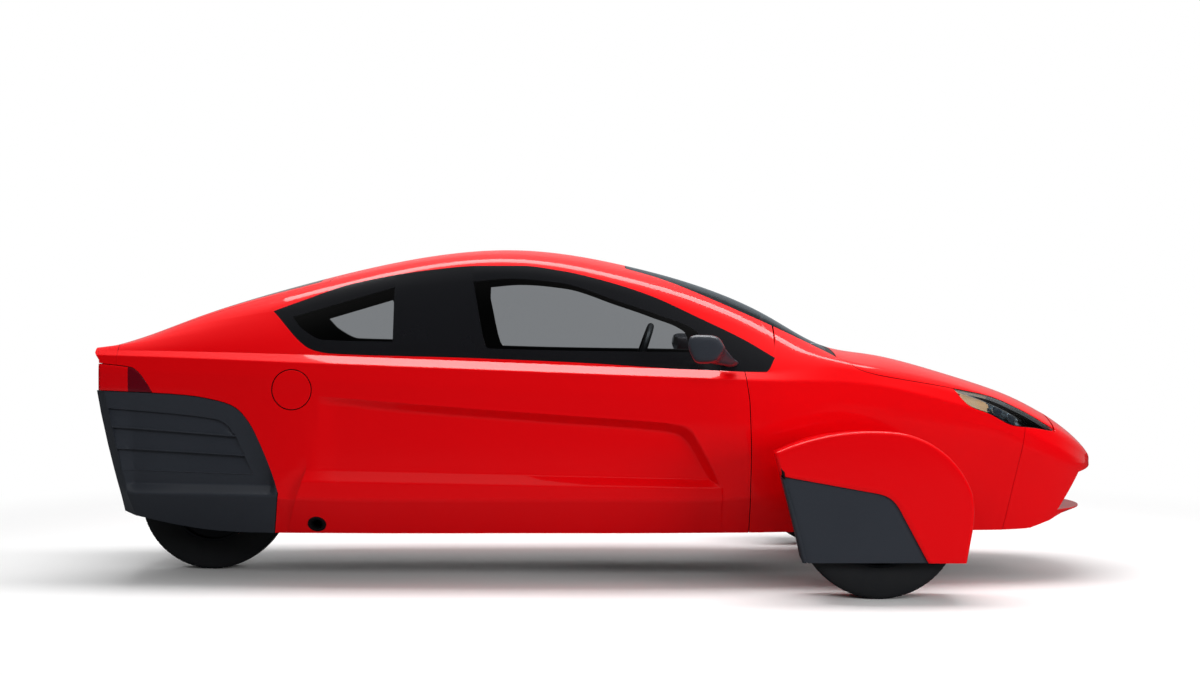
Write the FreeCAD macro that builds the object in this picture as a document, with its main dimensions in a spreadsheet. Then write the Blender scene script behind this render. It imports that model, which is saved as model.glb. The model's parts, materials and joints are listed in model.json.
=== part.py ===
import FreeCAD, Part
import math
import os

import Sketcher
from FreeCAD import Placement, Rotation, Vector

# A closed car on three wheels: two steered ones at the front, each in its own fairing on
# struts, and a single one behind under the tail. +X points forward, +Y to the left, +Z up.
# The origin is on the ground, halfway along the body.

doc = FreeCAD.newDocument("ThreeWheeledCar")
sheet = doc.addObject("Spreadsheet::Sheet", "Sizes")

# name, millimetres (or degrees), what it is
sizeTable = [
    ("BodyLength", 4200, "nose to tail"),
    ("BodyWidth", 1064, "across the shoulders of the body"),
    ("BodyHeight", 1384, "ground to the top of the roof"),
    ("SideThickness", 72, "door and side wall, outer skin to trim"),
    ("PillarThickness", 30, "window frames and pillars"),
    ("RoofThickness", 34, "roof, hatch and cowl"),
    ("FloorTop", 250, "cabin floor above the ground"),
    ("BayThickness", 30, "hood, fenders and nose"),
    ("CoverThickness", 14, "rear cover"),
    ("GlassThickness", 6, "every pane"),
    ("PanelGap", 5, "round whatever opens"),
    ("TyreRadius", 312, "outside"),
    ("TyreWidth", 135, "front"),
    ("RearTyreWidth", 150, "rear"),
    ("RimRadius", 190, "bead seat"),
    ("HubRadius", 34, "outside of each hub"),
    ("AxleRadius", 18, "stub axles and the rear axle"),
    ("AxleFit", 0.05, "radial play of a hub on its axle"),
    ("WheelPlane", 725, "middle of a front tyre from the centre plane"),
    ("KingpinPlane", 680, "steering axis from the centre plane"),
    ("PodInner", 618, "inner wall of a wheel fairing from the centre plane"),
    ("PodWidth", 230, "wheel fairing, across"),
    ("PodWall", 7, "wheel fairing"),
    ("PodBottom", 149, "wheel fairing above the ground"),
    ("ArmRadius", 12, "suspension tubes"),
    ("SteeringArm", 100, "kingpin to the rod end"),
    ("RodRadius", 8, "steering rod"),
    ("ShaftRadius", 13, "drive shafts"),
    ("SteeringWheelRadius", 165, "middle of the grip"),
    ("GripRadius", 14, "steering wheel grip"),
    ("ColumnTilt", 19, "degrees"),
    ("FuelDoorRadius", 80, "fuel door"),
    ("SeatWidth", 460, "both seats"),
    ("MirrorReach", 168, "mirror housing out from the shoulder"),
    ("EngineLength", 360, "engine block along X"),
    ("EngineWidth", 520, "engine block"),
    ("EngineHeight", 390, "engine block"),
    ("PinRadius", 8, "kingpin ends"),
    ("HingePinRadius", 3, "fuel door hinge"),
    ("ColumnShaftRadius", 9, "steering column inside the wheel's hub"),
    ("PlateHoleSpacing", 178, "number plate screws, across"),
    ("PlateHoleRadius", 3, "number plate screws"),
    ("ExhaustRadius", 22, "tail pipe"),
]
for row, (name, value, note) in enumerate(sizeTable, start=1):
    sheet.set(f"A{row}", name)
    sheet.set(f"B{row}", str(value))
    sheet.set(f"C{row}", note)
    sheet.setAlias(f"B{row}", name)
doc.recompute()


def size(name):
    return float(sheet.get(name))


# The tables of places below are drawn for this body and stretched to the sheet's sizes.
drawnLength = 4200
drawnWidth = 1064
drawnHeight = 1384


def alongX(x):
    return x * size("BodyLength") / drawnLength


def acrossY(y):
    return y * size("BodyWidth") / drawnWidth


def upZ(z):
    return z * size("BodyHeight") / drawnHeight


frontAxle = alongX(1052)
rearAxle = alongX(-1700)
wheelCentre = size("TyreRadius")
gap = size("PanelGap")
far = size("BodyLength")

# Body sections from tail to nose. Half widths w and heights z of: b bottom corner, c lower
# side, d shoulder crease, e outer and f inner edge of the belt, g roof rail, then the top
# height zh on the centre plane.
sectionColumns = ("x", "wb", "zb", "wc", "zc", "wd", "zd", "we", "ze", "wf", "zf", "wg", "zg", "zh")
sectionTable = [
    (-2130, 290, 300, 350, 420, 390, 800, 384, 935, 368, 952, 325, 950, 958),
    (-1950, 312, 262, 388, 420, 416, 800, 412, 930, 392, 952, 333, 996, 1016),
    (-1700, 340, 216, 426, 400, 444, 798, 440, 922, 416, 948, 338, 1086, 1110),
    (-1300, 412, 205, 494, 360, 486, 780, 482, 907, 452, 938, 356, 1193, 1234),
    (-800, 436, 206, 512, 350, 518, 742, 514, 888, 478, 920, 372, 1303, 1348),
    (-350, 440, 207, 515, 350, 530, 708, 526, 871, 488, 903, 378, 1336, 1381),
    (100, 440, 207, 515, 350, 532, 676, 528, 853, 490, 885, 368, 1258, 1312),
    (500, 432, 208, 508, 352, 522, 652, 516, 838, 484, 870, 352, 1138, 1192),
    (700, 415, 208, 488, 368, 505, 655, 500, 832, 474, 866, 358, 1046, 1098),
    (930, 375, 208, 447, 400, 474, 668, 474, 826, 452, 882, 386, 936, 972),
    (1150, 350, 208, 415, 410, 450, 650, 449, 802, 430, 842, 368, 890, 930),
    (1400, 335, 206, 390, 410, 424, 620, 420, 742, 400, 786, 332, 834, 868),
    (1600, 325, 205, 365, 400, 400, 580, 396, 682, 376, 722, 300, 774, 806),
    (1750, 312, 210, 342, 380, 376, 535, 370, 615, 350, 652, 268, 716, 750),
    (1900, 262, 224, 292, 355, 318, 480, 312, 538, 290, 575, 215, 640, 671),
    (2020, 165, 244, 190, 335, 208, 440, 204, 482, 190, 512, 140, 562, 582),
    (2100, 30, 268, 36, 320, 42, 430, 40, 452, 36, 468, 26, 480, 488),
]
# How far the side stands out from the chord d-e and from f-g, and how far back from the rail
# g its rounding starts.
flankBulge = 3
glassBulge = 10
railRound = 75


def stationAt(x):
    rows = [dict(zip(sectionColumns, row)) for row in sectionTable]
    for lower, upper in zip(rows, rows[1:]):
        if lower["x"] <= x <= upper["x"]:
            share = (x - lower["x"]) / (upper["x"] - lower["x"])
            return {key: lower[key] + share * (upper[key] - lower[key]) for key in sectionColumns}
    raise ValueError(f"no section at {x}")


def sectionWire(station, side, pillar, top, bottom):
    """One closed section, set in by side below the belt, pillar above it and top at the roof."""
    setIn = {"b": side, "c": side, "d": side, "e": side, "f": pillar, "g": pillar}
    x = alongX(station["x"])
    right = {}
    left = {}
    for key, inward in setIn.items():
        wide = acrossY(station["w" + key]) - inward
        high = upZ(station["z" + key])
        if key == "g":
            high -= top
        if key == "f":
            high -= top / 2
        if key == "b":
            high += bottom
        right[key] = Vector(x, -wide, high)
        left[key] = Vector(x, wide, high)
    crown = Vector(x, 0, upZ(station["zh"]) - top)

    def outOf(start, end, share, rise):
        """A place along the chord that stands out from it, by rise in the middle."""
        chord = end - start
        normal = Vector(0, -chord.z, chord.y)
        normal.normalize()
        if normal.y * (start.y + end.y) < 0:
            normal = normal * -1
        return start + chord * share + normal * (4 * rise * share * (1 - share))

    def bulged(start, end, rise):
        return Part.Arc(start, outOf(start, end, 0.5, rise), end).toShape()

    def railEdges(belt, rail):
        """From the belt's inner edge up to the roof rail, and round the rail onto the roof."""
        upright = (rail - belt).Length
        share = 1 - min(railRound / upright, 0.45)
        start = outOf(belt, rail, share, glassBulge)
        inward = min(railRound, 0.45 * abs(rail.y))
        end = Vector(x, rail.y * (1 - inward / abs(rail.y)), 0)
        end.z = crown.z - (crown.z - rail.z) * (end.y / rail.y) ** 2
        side = Part.Arc(belt, outOf(belt, rail, share / 2, glassBulge), start).toShape()
        bend = Part.BezierCurve()
        bend.setPoles([start, rail, end])
        return side, bend.toShape(), end

    rightSide, rightBend, rightRoof = railEdges(right["f"], right["g"])
    leftSide, leftBend, leftRoof = railEdges(left["f"], left["g"])
    edges = [
        Part.makeLine(left["b"], right["b"]),
        Part.makeLine(right["b"], right["c"]),
        Part.makeLine(right["c"], right["d"]),
        bulged(right["d"], right["e"], flankBulge),
        Part.makeLine(right["e"], right["f"]),
        rightSide,
        rightBend,
        Part.Arc(rightRoof, crown, leftRoof).toShape(),
        leftBend,
        leftSide,
        Part.makeLine(left["f"], left["e"]),
        bulged(left["e"], left["d"], flankBulge),
        Part.makeLine(left["d"], left["c"]),
        Part.makeLine(left["c"], left["b"]),
    ]
    return Part.Wire(edges)


def hull(start, end, side=0, pillar=0, top=0, bottom=0):
    """The body between two places along X, or the smaller one inside its walls."""
    inner = [row[0] for row in sectionTable if start < row[0] < end]
    places = [start] + inner + [end]
    wires = [sectionWire(stationAt(x), side, pillar, top, bottom) for x in places]
    return Part.makeLoft(wires, True, False)


def prism(outline, low=None, high=None):
    """What lies inside an outline of (x, z) places, from y = low to y = high."""
    low = -far if low is None else low
    high = far if high is None else high
    corners = [Vector(alongX(x), low, upZ(z)) for x, z in outline]
    face = Part.Face(Part.makePolygon(corners + corners[:1]))
    return face.extrude(Vector(0, high - low, 0))


def plain(outline, low, high):
    """The same for places in real millimetres that don't stretch with the body."""
    corners = [Vector(x, low, z) for x, z in outline]
    face = Part.Face(Part.makePolygon(corners + corners[:1]))
    return face.extrude(Vector(0, high - low, 0))


def block(x0, x1, y0, y1, z0, z1):
    return Part.makeBox(x1 - x0, y1 - y0, z1 - z0, Vector(x0, y0, z0))


def rod(start, end, radius):
    return Part.makeCylinder(radius, (end - start).Length, start, end - start)


def mirrored(shape):
    return shape.mirror(Vector(0, 0, 0), Vector(0, 1, 0))


def solidsOf(shape, smallest=20000):
    """The shape without slivers, as one solid or a compound of solids that don't touch."""
    kept = [solid for solid in shape.Solids if solid.Volume > smallest]
    if not kept:
        raise ValueError("nothing left of a piece")
    return kept[0] if len(kept) == 1 else Part.makeCompound(kept)


pieces = []


def keep(piece, label):
    piece.Label = label
    pieces.append(piece)
    return piece


def feature(label, shape, place=None):
    piece = doc.addObject("Part::Feature", label)
    piece.Shape = solidsOf(shape)
    piece.Placement = place or Placement()
    return keep(piece, label)


# Lines across the side of the body, as (x, z) places.
beltLine = [(-2200, 973), (-1995, 966), (575, 867)]
coverEdge = [(-2200, 804), (-1850, 791), (-1647, 782), (-1536, 757), (-1483, 708), (-1389, 544), (-1335, 359),
             (-1347, 150)]
fenderSeam = [(562, 867), (579, 755), (587, 554), (583, 393), (583, 150)]
windowLine = [(-1369, 1114), (-1247, 1159), (-1043, 1228), (-717, 1285), (-514, 1301), (-351, 1301),
              (-188, 1281), (-25, 1244), (179, 1179), (382, 1086), (566, 996), (688, 923), (651, 866)]
windowSill = [(-187, 908), (-582, 924), (-1116, 940), (-1197, 956)]
screenLine = [(60, 1303), (227, 1252), (396, 1183), (564, 1110), (732, 1034), (915, 944)]
pillarFoot = [(688, 923), (640, 1075)]
hoodSeam = [(945, 926), (1046, 888), (1211, 855), (1429, 795)]
lampTop = [(1429, 795), (1587, 762), (1720, 705), (1875, 618)]
lampBottom = [(1860, 614), (1782, 629), (1678, 642), (1574, 692), (1491, 725)]
noseSeam = [(1731, 635), (1638, 150)]
hoodFront = 1875
mouthX = 1880
screenFoot = 915
hoodRear = 945
tailFront = -2010
hatchFront = -1150
hatchRear = -2030
hatchHalfWidth = 312
top = 1500
below = 100

# The tail end slopes in towards its foot and is rounded in plan: height, x on the centre
# plane, x at the corners.
tailTable = [(1010, -2100, -2094), (905, -2098, -2086), (811, -2100, -2098), (564, -2084, -2037),
             (277, -2056, -1970), (120, -2040, -1925)]
tailCorner = 400


def tailCutter():
    """Everything behind the tail."""
    wires = []
    for high, middle, corner in tailTable:
        behind = alongX(-2400)
        wide = acrossY(tailCorner)
        z = upZ(high)
        slope = (corner - middle) / tailCorner * 2
        edgeX = corner + slope * (560 - tailCorner)
        cornerRight = Vector(alongX(edgeX), -acrossY(560), z)
        cornerLeft = Vector(alongX(edgeX), acrossY(560), z)
        curve = Part.Arc(cornerRight, Vector(alongX(middle), 0, z), cornerLeft).toShape()
        backLeft = Vector(behind, acrossY(560), z)
        backRight = Vector(behind, -acrossY(560), z)
        wires.append(Part.Wire([
            curve,
            Part.makeLine(cornerLeft, backLeft),
            Part.makeLine(backLeft, backRight),
            Part.makeLine(backRight, cornerRight),
        ]))
    return Part.makeLoft(wires, True, True)


# Long hollow in each flank, deepest at its front end, with the sill's ledge for a floor.
# (x, z) of its edge on the skin, then of the same corner down in the hollow.
hollowEdge = [(-1100, 768), (-911, 757), (-186, 700), (237, 667), (352, 626), (466, 372), (-1240, 397)]
hollowFloor = [(-1060, 740), (-911, 722), (-186, 664), (225, 630), (322, 598), (418, 432), (-1213, 472)]
hollowSkin = 519
hollowOut = 640
hollowRearDepth = 504
hollowFrontDepth = 490


def hollowCutter():
    """What the hollow takes from the right flank."""
    def wire(corners, wide):
        points = [Vector(alongX(x), -acrossY(wide(x)), upZ(z)) for x, z in corners]
        return Part.makePolygon(points + points[:1])

    def deep(x):
        share = (x + 1213) / (418 + 1213)
        return hollowRearDepth + share * (hollowFrontDepth - hollowRearDepth)

    outer = wire(hollowEdge, lambda x: hollowOut)
    skin = wire(hollowEdge, lambda x: hollowSkin)
    floor = wire(hollowFloor, deep)
    return Part.makeLoft([outer, skin, floor], True, True)


print("body shell")
body = hull(-2130, 2100).cut(tailCutter())
rightHollow = hollowCutter()
body = body.cut(Part.makeCompound([rightHollow, mirrored(rightHollow)]))
# Behind the sill the flank steps in ahead of the rear cover.
sillEnd = prism([(-1213, 471), (-1305, below), (-1420, below), (-1420, 471)], -acrossY(640), -acrossY(484))
body = body.cut(Part.makeCompound([sillEnd, mirrored(sillEnd)]))

wellReach = size("TyreRadius") + 28
wellTop = 2 * size("TyreRadius") + 121
luggageFloor = wellTop + 55
bulkheadRear = rearAxle + wellReach
bulkheadFront = bulkheadRear + 15
floorTop = size("FloorTop")
trayTop = floorTop - 18
wallX = 640
dashFoot = 700
cowlX = 890
cowlZ = 900

# The spaces inside the walls reach below the body, so that every wall is cut right through.
inner = hull(-2050, 960, size("SideThickness"), size("PillarThickness"), size("RoofThickness"), -40)
wellHull = hull(-2050, -1300, size("CoverThickness"), size("CoverThickness"), size("RoofThickness"), -40)
bayHull = hull(600, 2060, size("BayThickness"), size("BayThickness"), size("BayThickness"), -40)

wellRear = rearAxle - wellReach
railInner = 200
railOuter = 260
railTop = 290
towerOuter = 300
towerTop = 450
railFront = alongX(1700)
bayRear = alongX(wallX) + 60
tubOutline = [(bulkheadRear, 0), (bayRear, 0), (bayRear, upZ(dashFoot) - 20), (alongX(hoodRear), upZ(870)),
              (alongX(hoodRear), upZ(top)), (alongX(cowlX), upZ(top)), (alongX(cowlX), upZ(cowlZ)),
              (alongX(wallX), upZ(dashFoot)), (alongX(wallX), floorTop), (bulkheadFront, floorTop),
              (bulkheadFront, luggageFloor), (wellRear, luggageFloor), (wellRear, wellTop),
              (bulkheadRear, wellTop)]
wellOutline = [(wellRear, 0), (bulkheadRear, 0), (bulkheadRear, wellTop), (wellRear, wellTop)]
trayOutline = [(bayRear, 0), (alongX(1760), 0), (alongX(1760), trayTop), (bayRear, trayTop)]

fullOutline = [(bulkheadRear, 0), (bayRear, 0), (bayRear, upZ(dashFoot) - 20), (alongX(hoodRear), upZ(870)),
               (alongX(hoodRear), upZ(top)), (wellRear, upZ(top)), (wellRear, wellTop), (bulkheadRear, wellTop)]
bayOutline = [(bayRear, 0), (bayRear, upZ(dashFoot) - 20), (alongX(hoodRear), upZ(870)),
              (alongX(hoodRear), upZ(top)), (alongX(mouthX), upZ(top)), (alongX(mouthX), 0)]

# What the walls go round: the cabin with its tub, the engine bay with its tray, the wheel well.
cabinVoid = inner.common(plain(fullOutline, -far, far))
bayVoid = bayHull.common(plain(bayOutline, -far, far))
wellVoid = wellHull.common(plain(wellOutline, -far, far))
tub = body.common(plain(tubOutline, -far, far)).common(inner.common(plain(tubOutline, -far, far)))
tray = body.common(plain(trayOutline, -far, far)).common(bayHull.common(plain(trayOutline, -far, far)))
paneHull = hull(-2100, 960, size("GlassThickness"), size("GlassThickness"), size("GlassThickness"))
lampHull = hull(-2074, -1700, 24, 24, 24)

right = -1
left = 1
middle = acrossY(60)
flankInner = acrossY(322)


def panel(region, voids, cutters=(), low=None, high=None):
    """The walls inside an outline of the side view, less what opens or fits into them."""
    space = prism(region, low, high)
    shape = body.common(space)
    for void in voids:
        inside = void.common(space)
        if inside.Solids:
            shape = shape.cut(inside)
    for cutter in cutters:
        shape = shape.cut(cutter)
    return shape


def grown(outline, by):
    """The outline moved outwards by a few millimetres, for a panel's gap."""
    wire = Part.makePolygon([Vector(alongX(x), 0, upZ(z)) for x, z in outline + outline[:1]])
    bigger = Part.Face(wire).makeOffset2D(by, 2)
    return bigger.extrude(Vector(0, 2 * far, 0)).translated(Vector(0, -far, 0))


print("regions")
screenRegion = [(82, top), (82, 1296)] + screenLine[1:] + [(screenFoot, top)]
screenCutter = prism(screenRegion)
windowRegion = windowLine + windowSill
windowCutter = prism(windowRegion)
quarterPane = [(-1215, 1085), (-868, 1205), (-868, 1005), (-1085, 1012), (-1180, 1045)]
frontPane = [(-545, 1235), (-390, 1247), (-190, 1230), (57, 1152), (216, 1097), (370, 1030), (400, 945),
             (-480, 962)]
doorRegion = [(-565, 462), (575, 440), (575, 991)] + windowLine[10:3:-1] + [(-565, 1297)]
tailLampRegion = [(-2200, 909), (-1980, 889), (-1943, 883), (-1913, 862), (-1858, 787), (-2200, 800)]
tailLampInner = acrossY(250)
headLampRegion = lampTop + lampBottom
headLampInner = acrossY(120)
hoodRegion = [(hoodRear, top)] + hoodSeam + lampTop[1:] + [(hoodFront, top)]
cowlRegion = [(screenFoot, top), (screenFoot, 944), (hoodRear, 926), (hoodRear, top)]
sideRegion = [(tailFront, 966)] + beltLine[2:] + fenderSeam[1:] + coverEdge[::-1][:-1] + [(tailFront, 797)]
coverRegion = coverEdge + [(-2200, 150)]
tailRegion = [(-2200, top), (-2200, 804), (tailFront, 797), (tailFront, top)]
roofRegion = [(tailFront, top), (tailFront, 966)] + beltLine[2:] + [(651, 866)] + pillarFoot + [(640, top)]
fenderRegion = fenderSeam[::-1][:-1] + [(575, 867), (651, 866)] + pillarFoot + screenLine[4:] \
    + [(hoodRear, 926)] + hoodSeam[1:] + lampBottom[:1:-1] + noseSeam
noseRegion = noseSeam[::-1] + lampBottom[1::-1] + [(hoodFront, 618), (hoodFront, top), (2200, top), (2200, 150)]
hatchPlan = block(alongX(hatchRear), alongX(hatchFront), -acrossY(hatchHalfWidth), acrossY(hatchHalfWidth),
                  upZ(940), upZ(top))
hatchGlassPlan = block(alongX(-1740), alongX(-1200), -acrossY(265), acrossY(265), upZ(940), upZ(top))
hatchGap = block(alongX(hatchRear) - gap, alongX(hatchFront) + gap, -acrossY(hatchHalfWidth) - gap,
                 acrossY(hatchHalfWidth) + gap, upZ(940), upZ(top))
hoodGap = grown(hoodRegion, gap)
doorGap = grown(doorRegion, gap).common(block(-far, far, middle, far, 0, far))

print("opening panels")
hoodShape = panel(hoodRegion, [bayVoid])
hatchWhole = body.common(hatchPlan).cut(cabinVoid.common(hatchPlan))
hatchGlassShape = hatchWhole.common(hatchGlassPlan).cut(paneHull.common(hatchGlassPlan))
hatchShape = hatchWhole.cut(hatchGlassPlan)

print("fixed panels")
windshieldShape = panel(screenRegion, [paneHull])
cowlShape = panel(cowlRegion, [cabinVoid], [hoodGap])
flank = panel(sideRegion, [cabinVoid, wellVoid], (), -far, -flankInner)
tailLamp = panel(tailLampRegion, [lampHull], (), -far, -tailLampInner)
tailLampCutter = prism(tailLampRegion, -far, -tailLampInner)
tailLampCutters = Part.makeCompound([tailLampCutter, mirrored(tailLampCutter)])
headLamp = panel(headLampRegion, [bayVoid], (), -far, -headLampInner)
flank = flank.cut(tailLampCutter)
fenderShape = panel(fenderRegion, [cabinVoid, bayVoid], [hoodGap], -far, -headLampInner)
strutReach = alongX(150)
strutOpening = block(frontAxle - strutReach - 40, frontAxle + strutReach + 40, -far / 4, far / 4, 188, 476)
fenderShape = fenderShape.cut(strutOpening)
tubWithTray = tub.fuse(tray).cut(strutOpening.common(block(-far, far, -far, -towerOuter, 0, far)))
roofShape = panel(roofRegion, [cabinVoid], [windowCutter, screenCutter, hatchGap, doorGap])
coverShape = panel(coverRegion, [wellVoid, cabinVoid], [tailLampCutters])
tailShape = panel(tailRegion, [wellVoid, cabinVoid], [tailLampCutters, hatchGap])
noseShape = panel(noseRegion, [bayVoid], [hoodGap])

# The front below the nose stands back across the whole width, down to a lip that is rounded
# in plan, and the mouth goes in through the sloping face between them.
noseUnderside = [(2300, 452), (2085, 452), (1992, 438), (1890, 283), (2300, 283)]
lipTop = 284
lipTip = 2049
lipRadius = 330
mouthRear = alongX(mouthX)
lipRear = mouthRear + 5
noseShape = noseShape.cut(prism(noseUnderside))
lipBlock = block(lipRear, far, -far / 4, far / 4, 0, upZ(lipTop))
lipRound = Part.makeCylinder(lipRadius, upZ(lipTop), Vector(alongX(lipTip) - lipRadius, 0, 0))
noseShape = noseShape.cut(lipBlock.cut(lipRound))
mouthCorners = [(-190, 312), (190, 312), (205, 425), (-205, 425)]
mouthPoints = [Vector(mouthRear, acrossY(y), upZ(z)) for y, z in mouthCorners]
mouth = Part.Face(Part.makePolygon(mouthPoints + mouthPoints[:1])).extrude(Vector(alongX(400), 0, 0))
noseShape = noseShape.cut(mouth)

# A flat for the number plate in the middle of the rear cover, with its two screw holes.
plateX = alongX(-2078)
plateZ = upZ(650)
coverShape = coverShape.cut(block(-far, plateX, -170, 170, plateZ - 65, plateZ + 65))
for sign in (right, left):
    start = Vector(plateX - 50, sign * size("PlateHoleSpacing") / 2, plateZ)
    coverShape = coverShape.cut(rod(start, start + Vector(140, 0, 0), size("PlateHoleRadius")))

# The fuel door: a round lid let into the right flank.
fuelX = alongX(-1274)
fuelZ = upZ(795)
fuelDeep = acrossY(470)
fuelHole = rod(Vector(fuelX, -far, fuelZ), Vector(fuelX, -fuelDeep, fuelZ), size("FuelDoorRadius") + gap)
fuelLid = rod(Vector(fuelX, -far, fuelZ), Vector(fuelX, -fuelDeep - gap, fuelZ), size("FuelDoorRadius"))
hingeX = fuelX - size("FuelDoorRadius") - gap - 2
hingeY = -acrossY(483)
hingeNotch = block(hingeX - 11, fuelX, -far, hingeY + 14, fuelZ - 16, fuelZ + 16)
hingeNotch = hingeNotch.cut(rod(Vector(fuelX, -far, fuelZ), Vector(fuelX, 0, fuelZ), size("FuelDoorRadius") + gap))
hingePin = rod(Vector(hingeX, hingeY, fuelZ - 20), Vector(hingeX, hingeY, fuelZ + 20), size("HingePinRadius"))
hingeLug = block(hingeX - 6, hingeX + 18, hingeY - 6, hingeY + 6, fuelZ - 10, fuelZ + 10)
hingeLug = hingeLug.cut(rod(Vector(hingeX, hingeY, fuelZ - 20), Vector(hingeX, hingeY, fuelZ + 20),
                            size("HingePinRadius") + size("AxleFit")))
fuelShape = flank.common(fuelLid).fuse(hingeLug)

# The tail pipe comes out of the right sill near its rear end.
pipeX = alongX(-1180)
pipeZ = upZ(250)
pipeStart = Vector(pipeX, -acrossY(425), pipeZ)
pipeEnd = Vector(pipeX, -acrossY(482), pipeZ)
pipeRadius = size("ExhaustRadius")
pipeHole = rod(pipeStart, pipeEnd + Vector(0, -60, 0), pipeRadius)
pipeShape = rod(pipeStart, pipeEnd, pipeRadius).cut(rod(pipeStart + Vector(0, -8, 0), pipeEnd, pipeRadius - 6))

feature("side_panel_right", flank.cut(fuelHole).cut(hingeNotch).fuse(hingePin).cut(pipeHole))
feature("side_panel_left", mirrored(flank).cut(doorGap))
feature("roof_shell", roofShape)
feature("fender_right", fenderShape)
feature("fender_left", mirrored(fenderShape))
feature("nose_cover", noseShape)
feature("rear_cover", coverShape)
feature("tail_panel", tailShape)
feature("cowl_panel", cowlShape)
feature("windshield", windshieldShape)
feature("headlamps", Part.makeCompound([headLamp, mirrored(headLamp)]))
feature("taillights", Part.makeCompound([tailLamp, mirrored(tailLamp)]))
feature("hood", hoodShape)
feature("hatch_glass", hatchGlassShape)
feature("hatch_shell", hatchShape)
feature("fuel_door", fuelShape)
feature("exhaust_tip", pipeShape)

print("windows and door")
ring = panel(windowRegion, [cabinVoid], (), -far, -flankInner)
quarterCutter = prism(quarterPane, -far, -middle)
frontCutter = prism(frontPane, -far, -middle)
quarterGlass = panel(quarterPane, [paneHull], (), -far, -middle)
frontGlass = panel(frontPane, [paneHull], (), -far, -middle)
feature("window_frame_right", ring.cut(quarterCutter).cut(frontCutter))
feature("window_frame_left", mirrored(ring.cut(quarterCutter)).cut(doorGap))
feature("side_glass", Part.makeCompound([quarterGlass, frontGlass, mirrored(quarterGlass)]))
doorWhole = panel(doorRegion, [cabinVoid], (), middle, far)
feature("door_panel", doorWhole.cut(windowCutter))
feature("door_frame", doorWhole.common(windowCutter).cut(mirrored(frontCutter)))
feature("door_glass", mirrored(frontGlass))

print("tub, engine and suspension")
tubShape = tubWithTray
rackX = frontAxle - size("SteeringArm")
rackZ = wheelCentre + 73
for sign in (-1, 1):
    low = min(sign * railInner, sign * railOuter)
    high = max(sign * railInner, sign * railOuter)
    tubShape = tubShape.fuse(block(bayRear, railFront, low, high, trayTop, railTop))
    low = min(sign * railInner, sign * towerOuter)
    high = max(sign * railInner, sign * towerOuter)
    for along in (-1, 1):
        towerX = frontAxle + along * strutReach
        tubShape = tubShape.fuse(block(towerX - 20, towerX + 20, low, high, trayTop, towerTop))
    low = min(sign * railInner, sign * railOuter)
    bearing = block(rackX - 18, rackX + 18, low, low + railOuter - railInner, trayTop, rackZ + 20)
    tubShape = tubShape.fuse(bearing)
bore = rod(Vector(rackX, -far, rackZ), Vector(rackX, far, rackZ), size("RodRadius") + size("AxleFit"))
feature("floor_tub", tubShape.cut(bore))

armHigh = wheelCentre + 115
armLow = wheelCentre - 115
armParts = []
for sign in (-1, 1):
    for height, innerHeight in ((armHigh, armHigh), (armLow, armLow + 60)):
        ball = Vector(frontAxle, sign * size("KingpinPlane"), height)
        legs = []
        for along in (-1, 1):
            foot = Vector(frontAxle + along * strutReach, sign * towerOuter, innerHeight)
            legs.append(rod(foot, ball, size("ArmRadius")))
        inward = -1 if height == armHigh else 1
        pin = rod(ball, ball + Vector(0, 0, inward * 46), size("PinRadius"))
        arm = legs[0].fuse([legs[1], Part.makeSphere(size("ArmRadius") + 4, ball), pin])
        arm = arm.cut(block(frontAxle - 400, frontAxle + 400, -towerOuter, towerOuter, 0, 800))
        armParts.append(arm)
feature("front_arms", Part.makeCompound([arm.Solids[0] for arm in armParts]))

shaftHalves = []
gearHalf = 190
for sign in (-1, 1):
    start = Vector(frontAxle, sign * gearHalf, wheelCentre)
    end = Vector(frontAxle, sign * (size("KingpinPlane") - 28), wheelCentre)
    shaftHalves.append(rod(start, end, size("ShaftRadius")))
feature("drive_shafts", Part.makeCompound(shaftHalves))

engineRear = alongX(1240)
engineShape = block(engineRear, engineRear + size("EngineLength"), -size("EngineWidth") / 2,
                    size("EngineWidth") / 2, railTop, railTop + size("EngineHeight"))
gearbox = block(frontAxle - 80, engineRear + 10, -gearHalf, gearHalf, trayTop + 8, 430)
feature("engine_block", engineShape.fuse(gearbox).removeSplitter())

feature("steering_rack", rod(Vector(rackX, -size("KingpinPlane"), rackZ), Vector(rackX, size("KingpinPlane"), rackZ),
                             size("RodRadius")))

armThick = 24
armSide = size("RearTyreWidth") / 2 + 10
rearParts = []
for sign in (-1, 1):
    low = min(sign * armSide, sign * (armSide + armThick))
    rearParts.append(block(rearAxle - 30, bulkheadRear, low, low + armThick, wheelCentre - 30, wheelCentre + 30))
rearParts.append(rod(Vector(rearAxle, -armSide, wheelCentre), Vector(rearAxle, armSide, wheelCentre),
                     size("AxleRadius")))
feature("rear_swingarm", rearParts[0].fuse(rearParts[1:]).removeSplitter())

print("knuckles and wheel fairings")
uprightInner = size("KingpinPlane") - 15
uprightOuter = size("KingpinPlane") + 10
podInner = size("PodInner")
podOuter = podInner + size("PodWidth")
podWall = size("PodWall")
podBottom = size("PodBottom")
tyreTop = 2 * size("TyreRadius")


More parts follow.
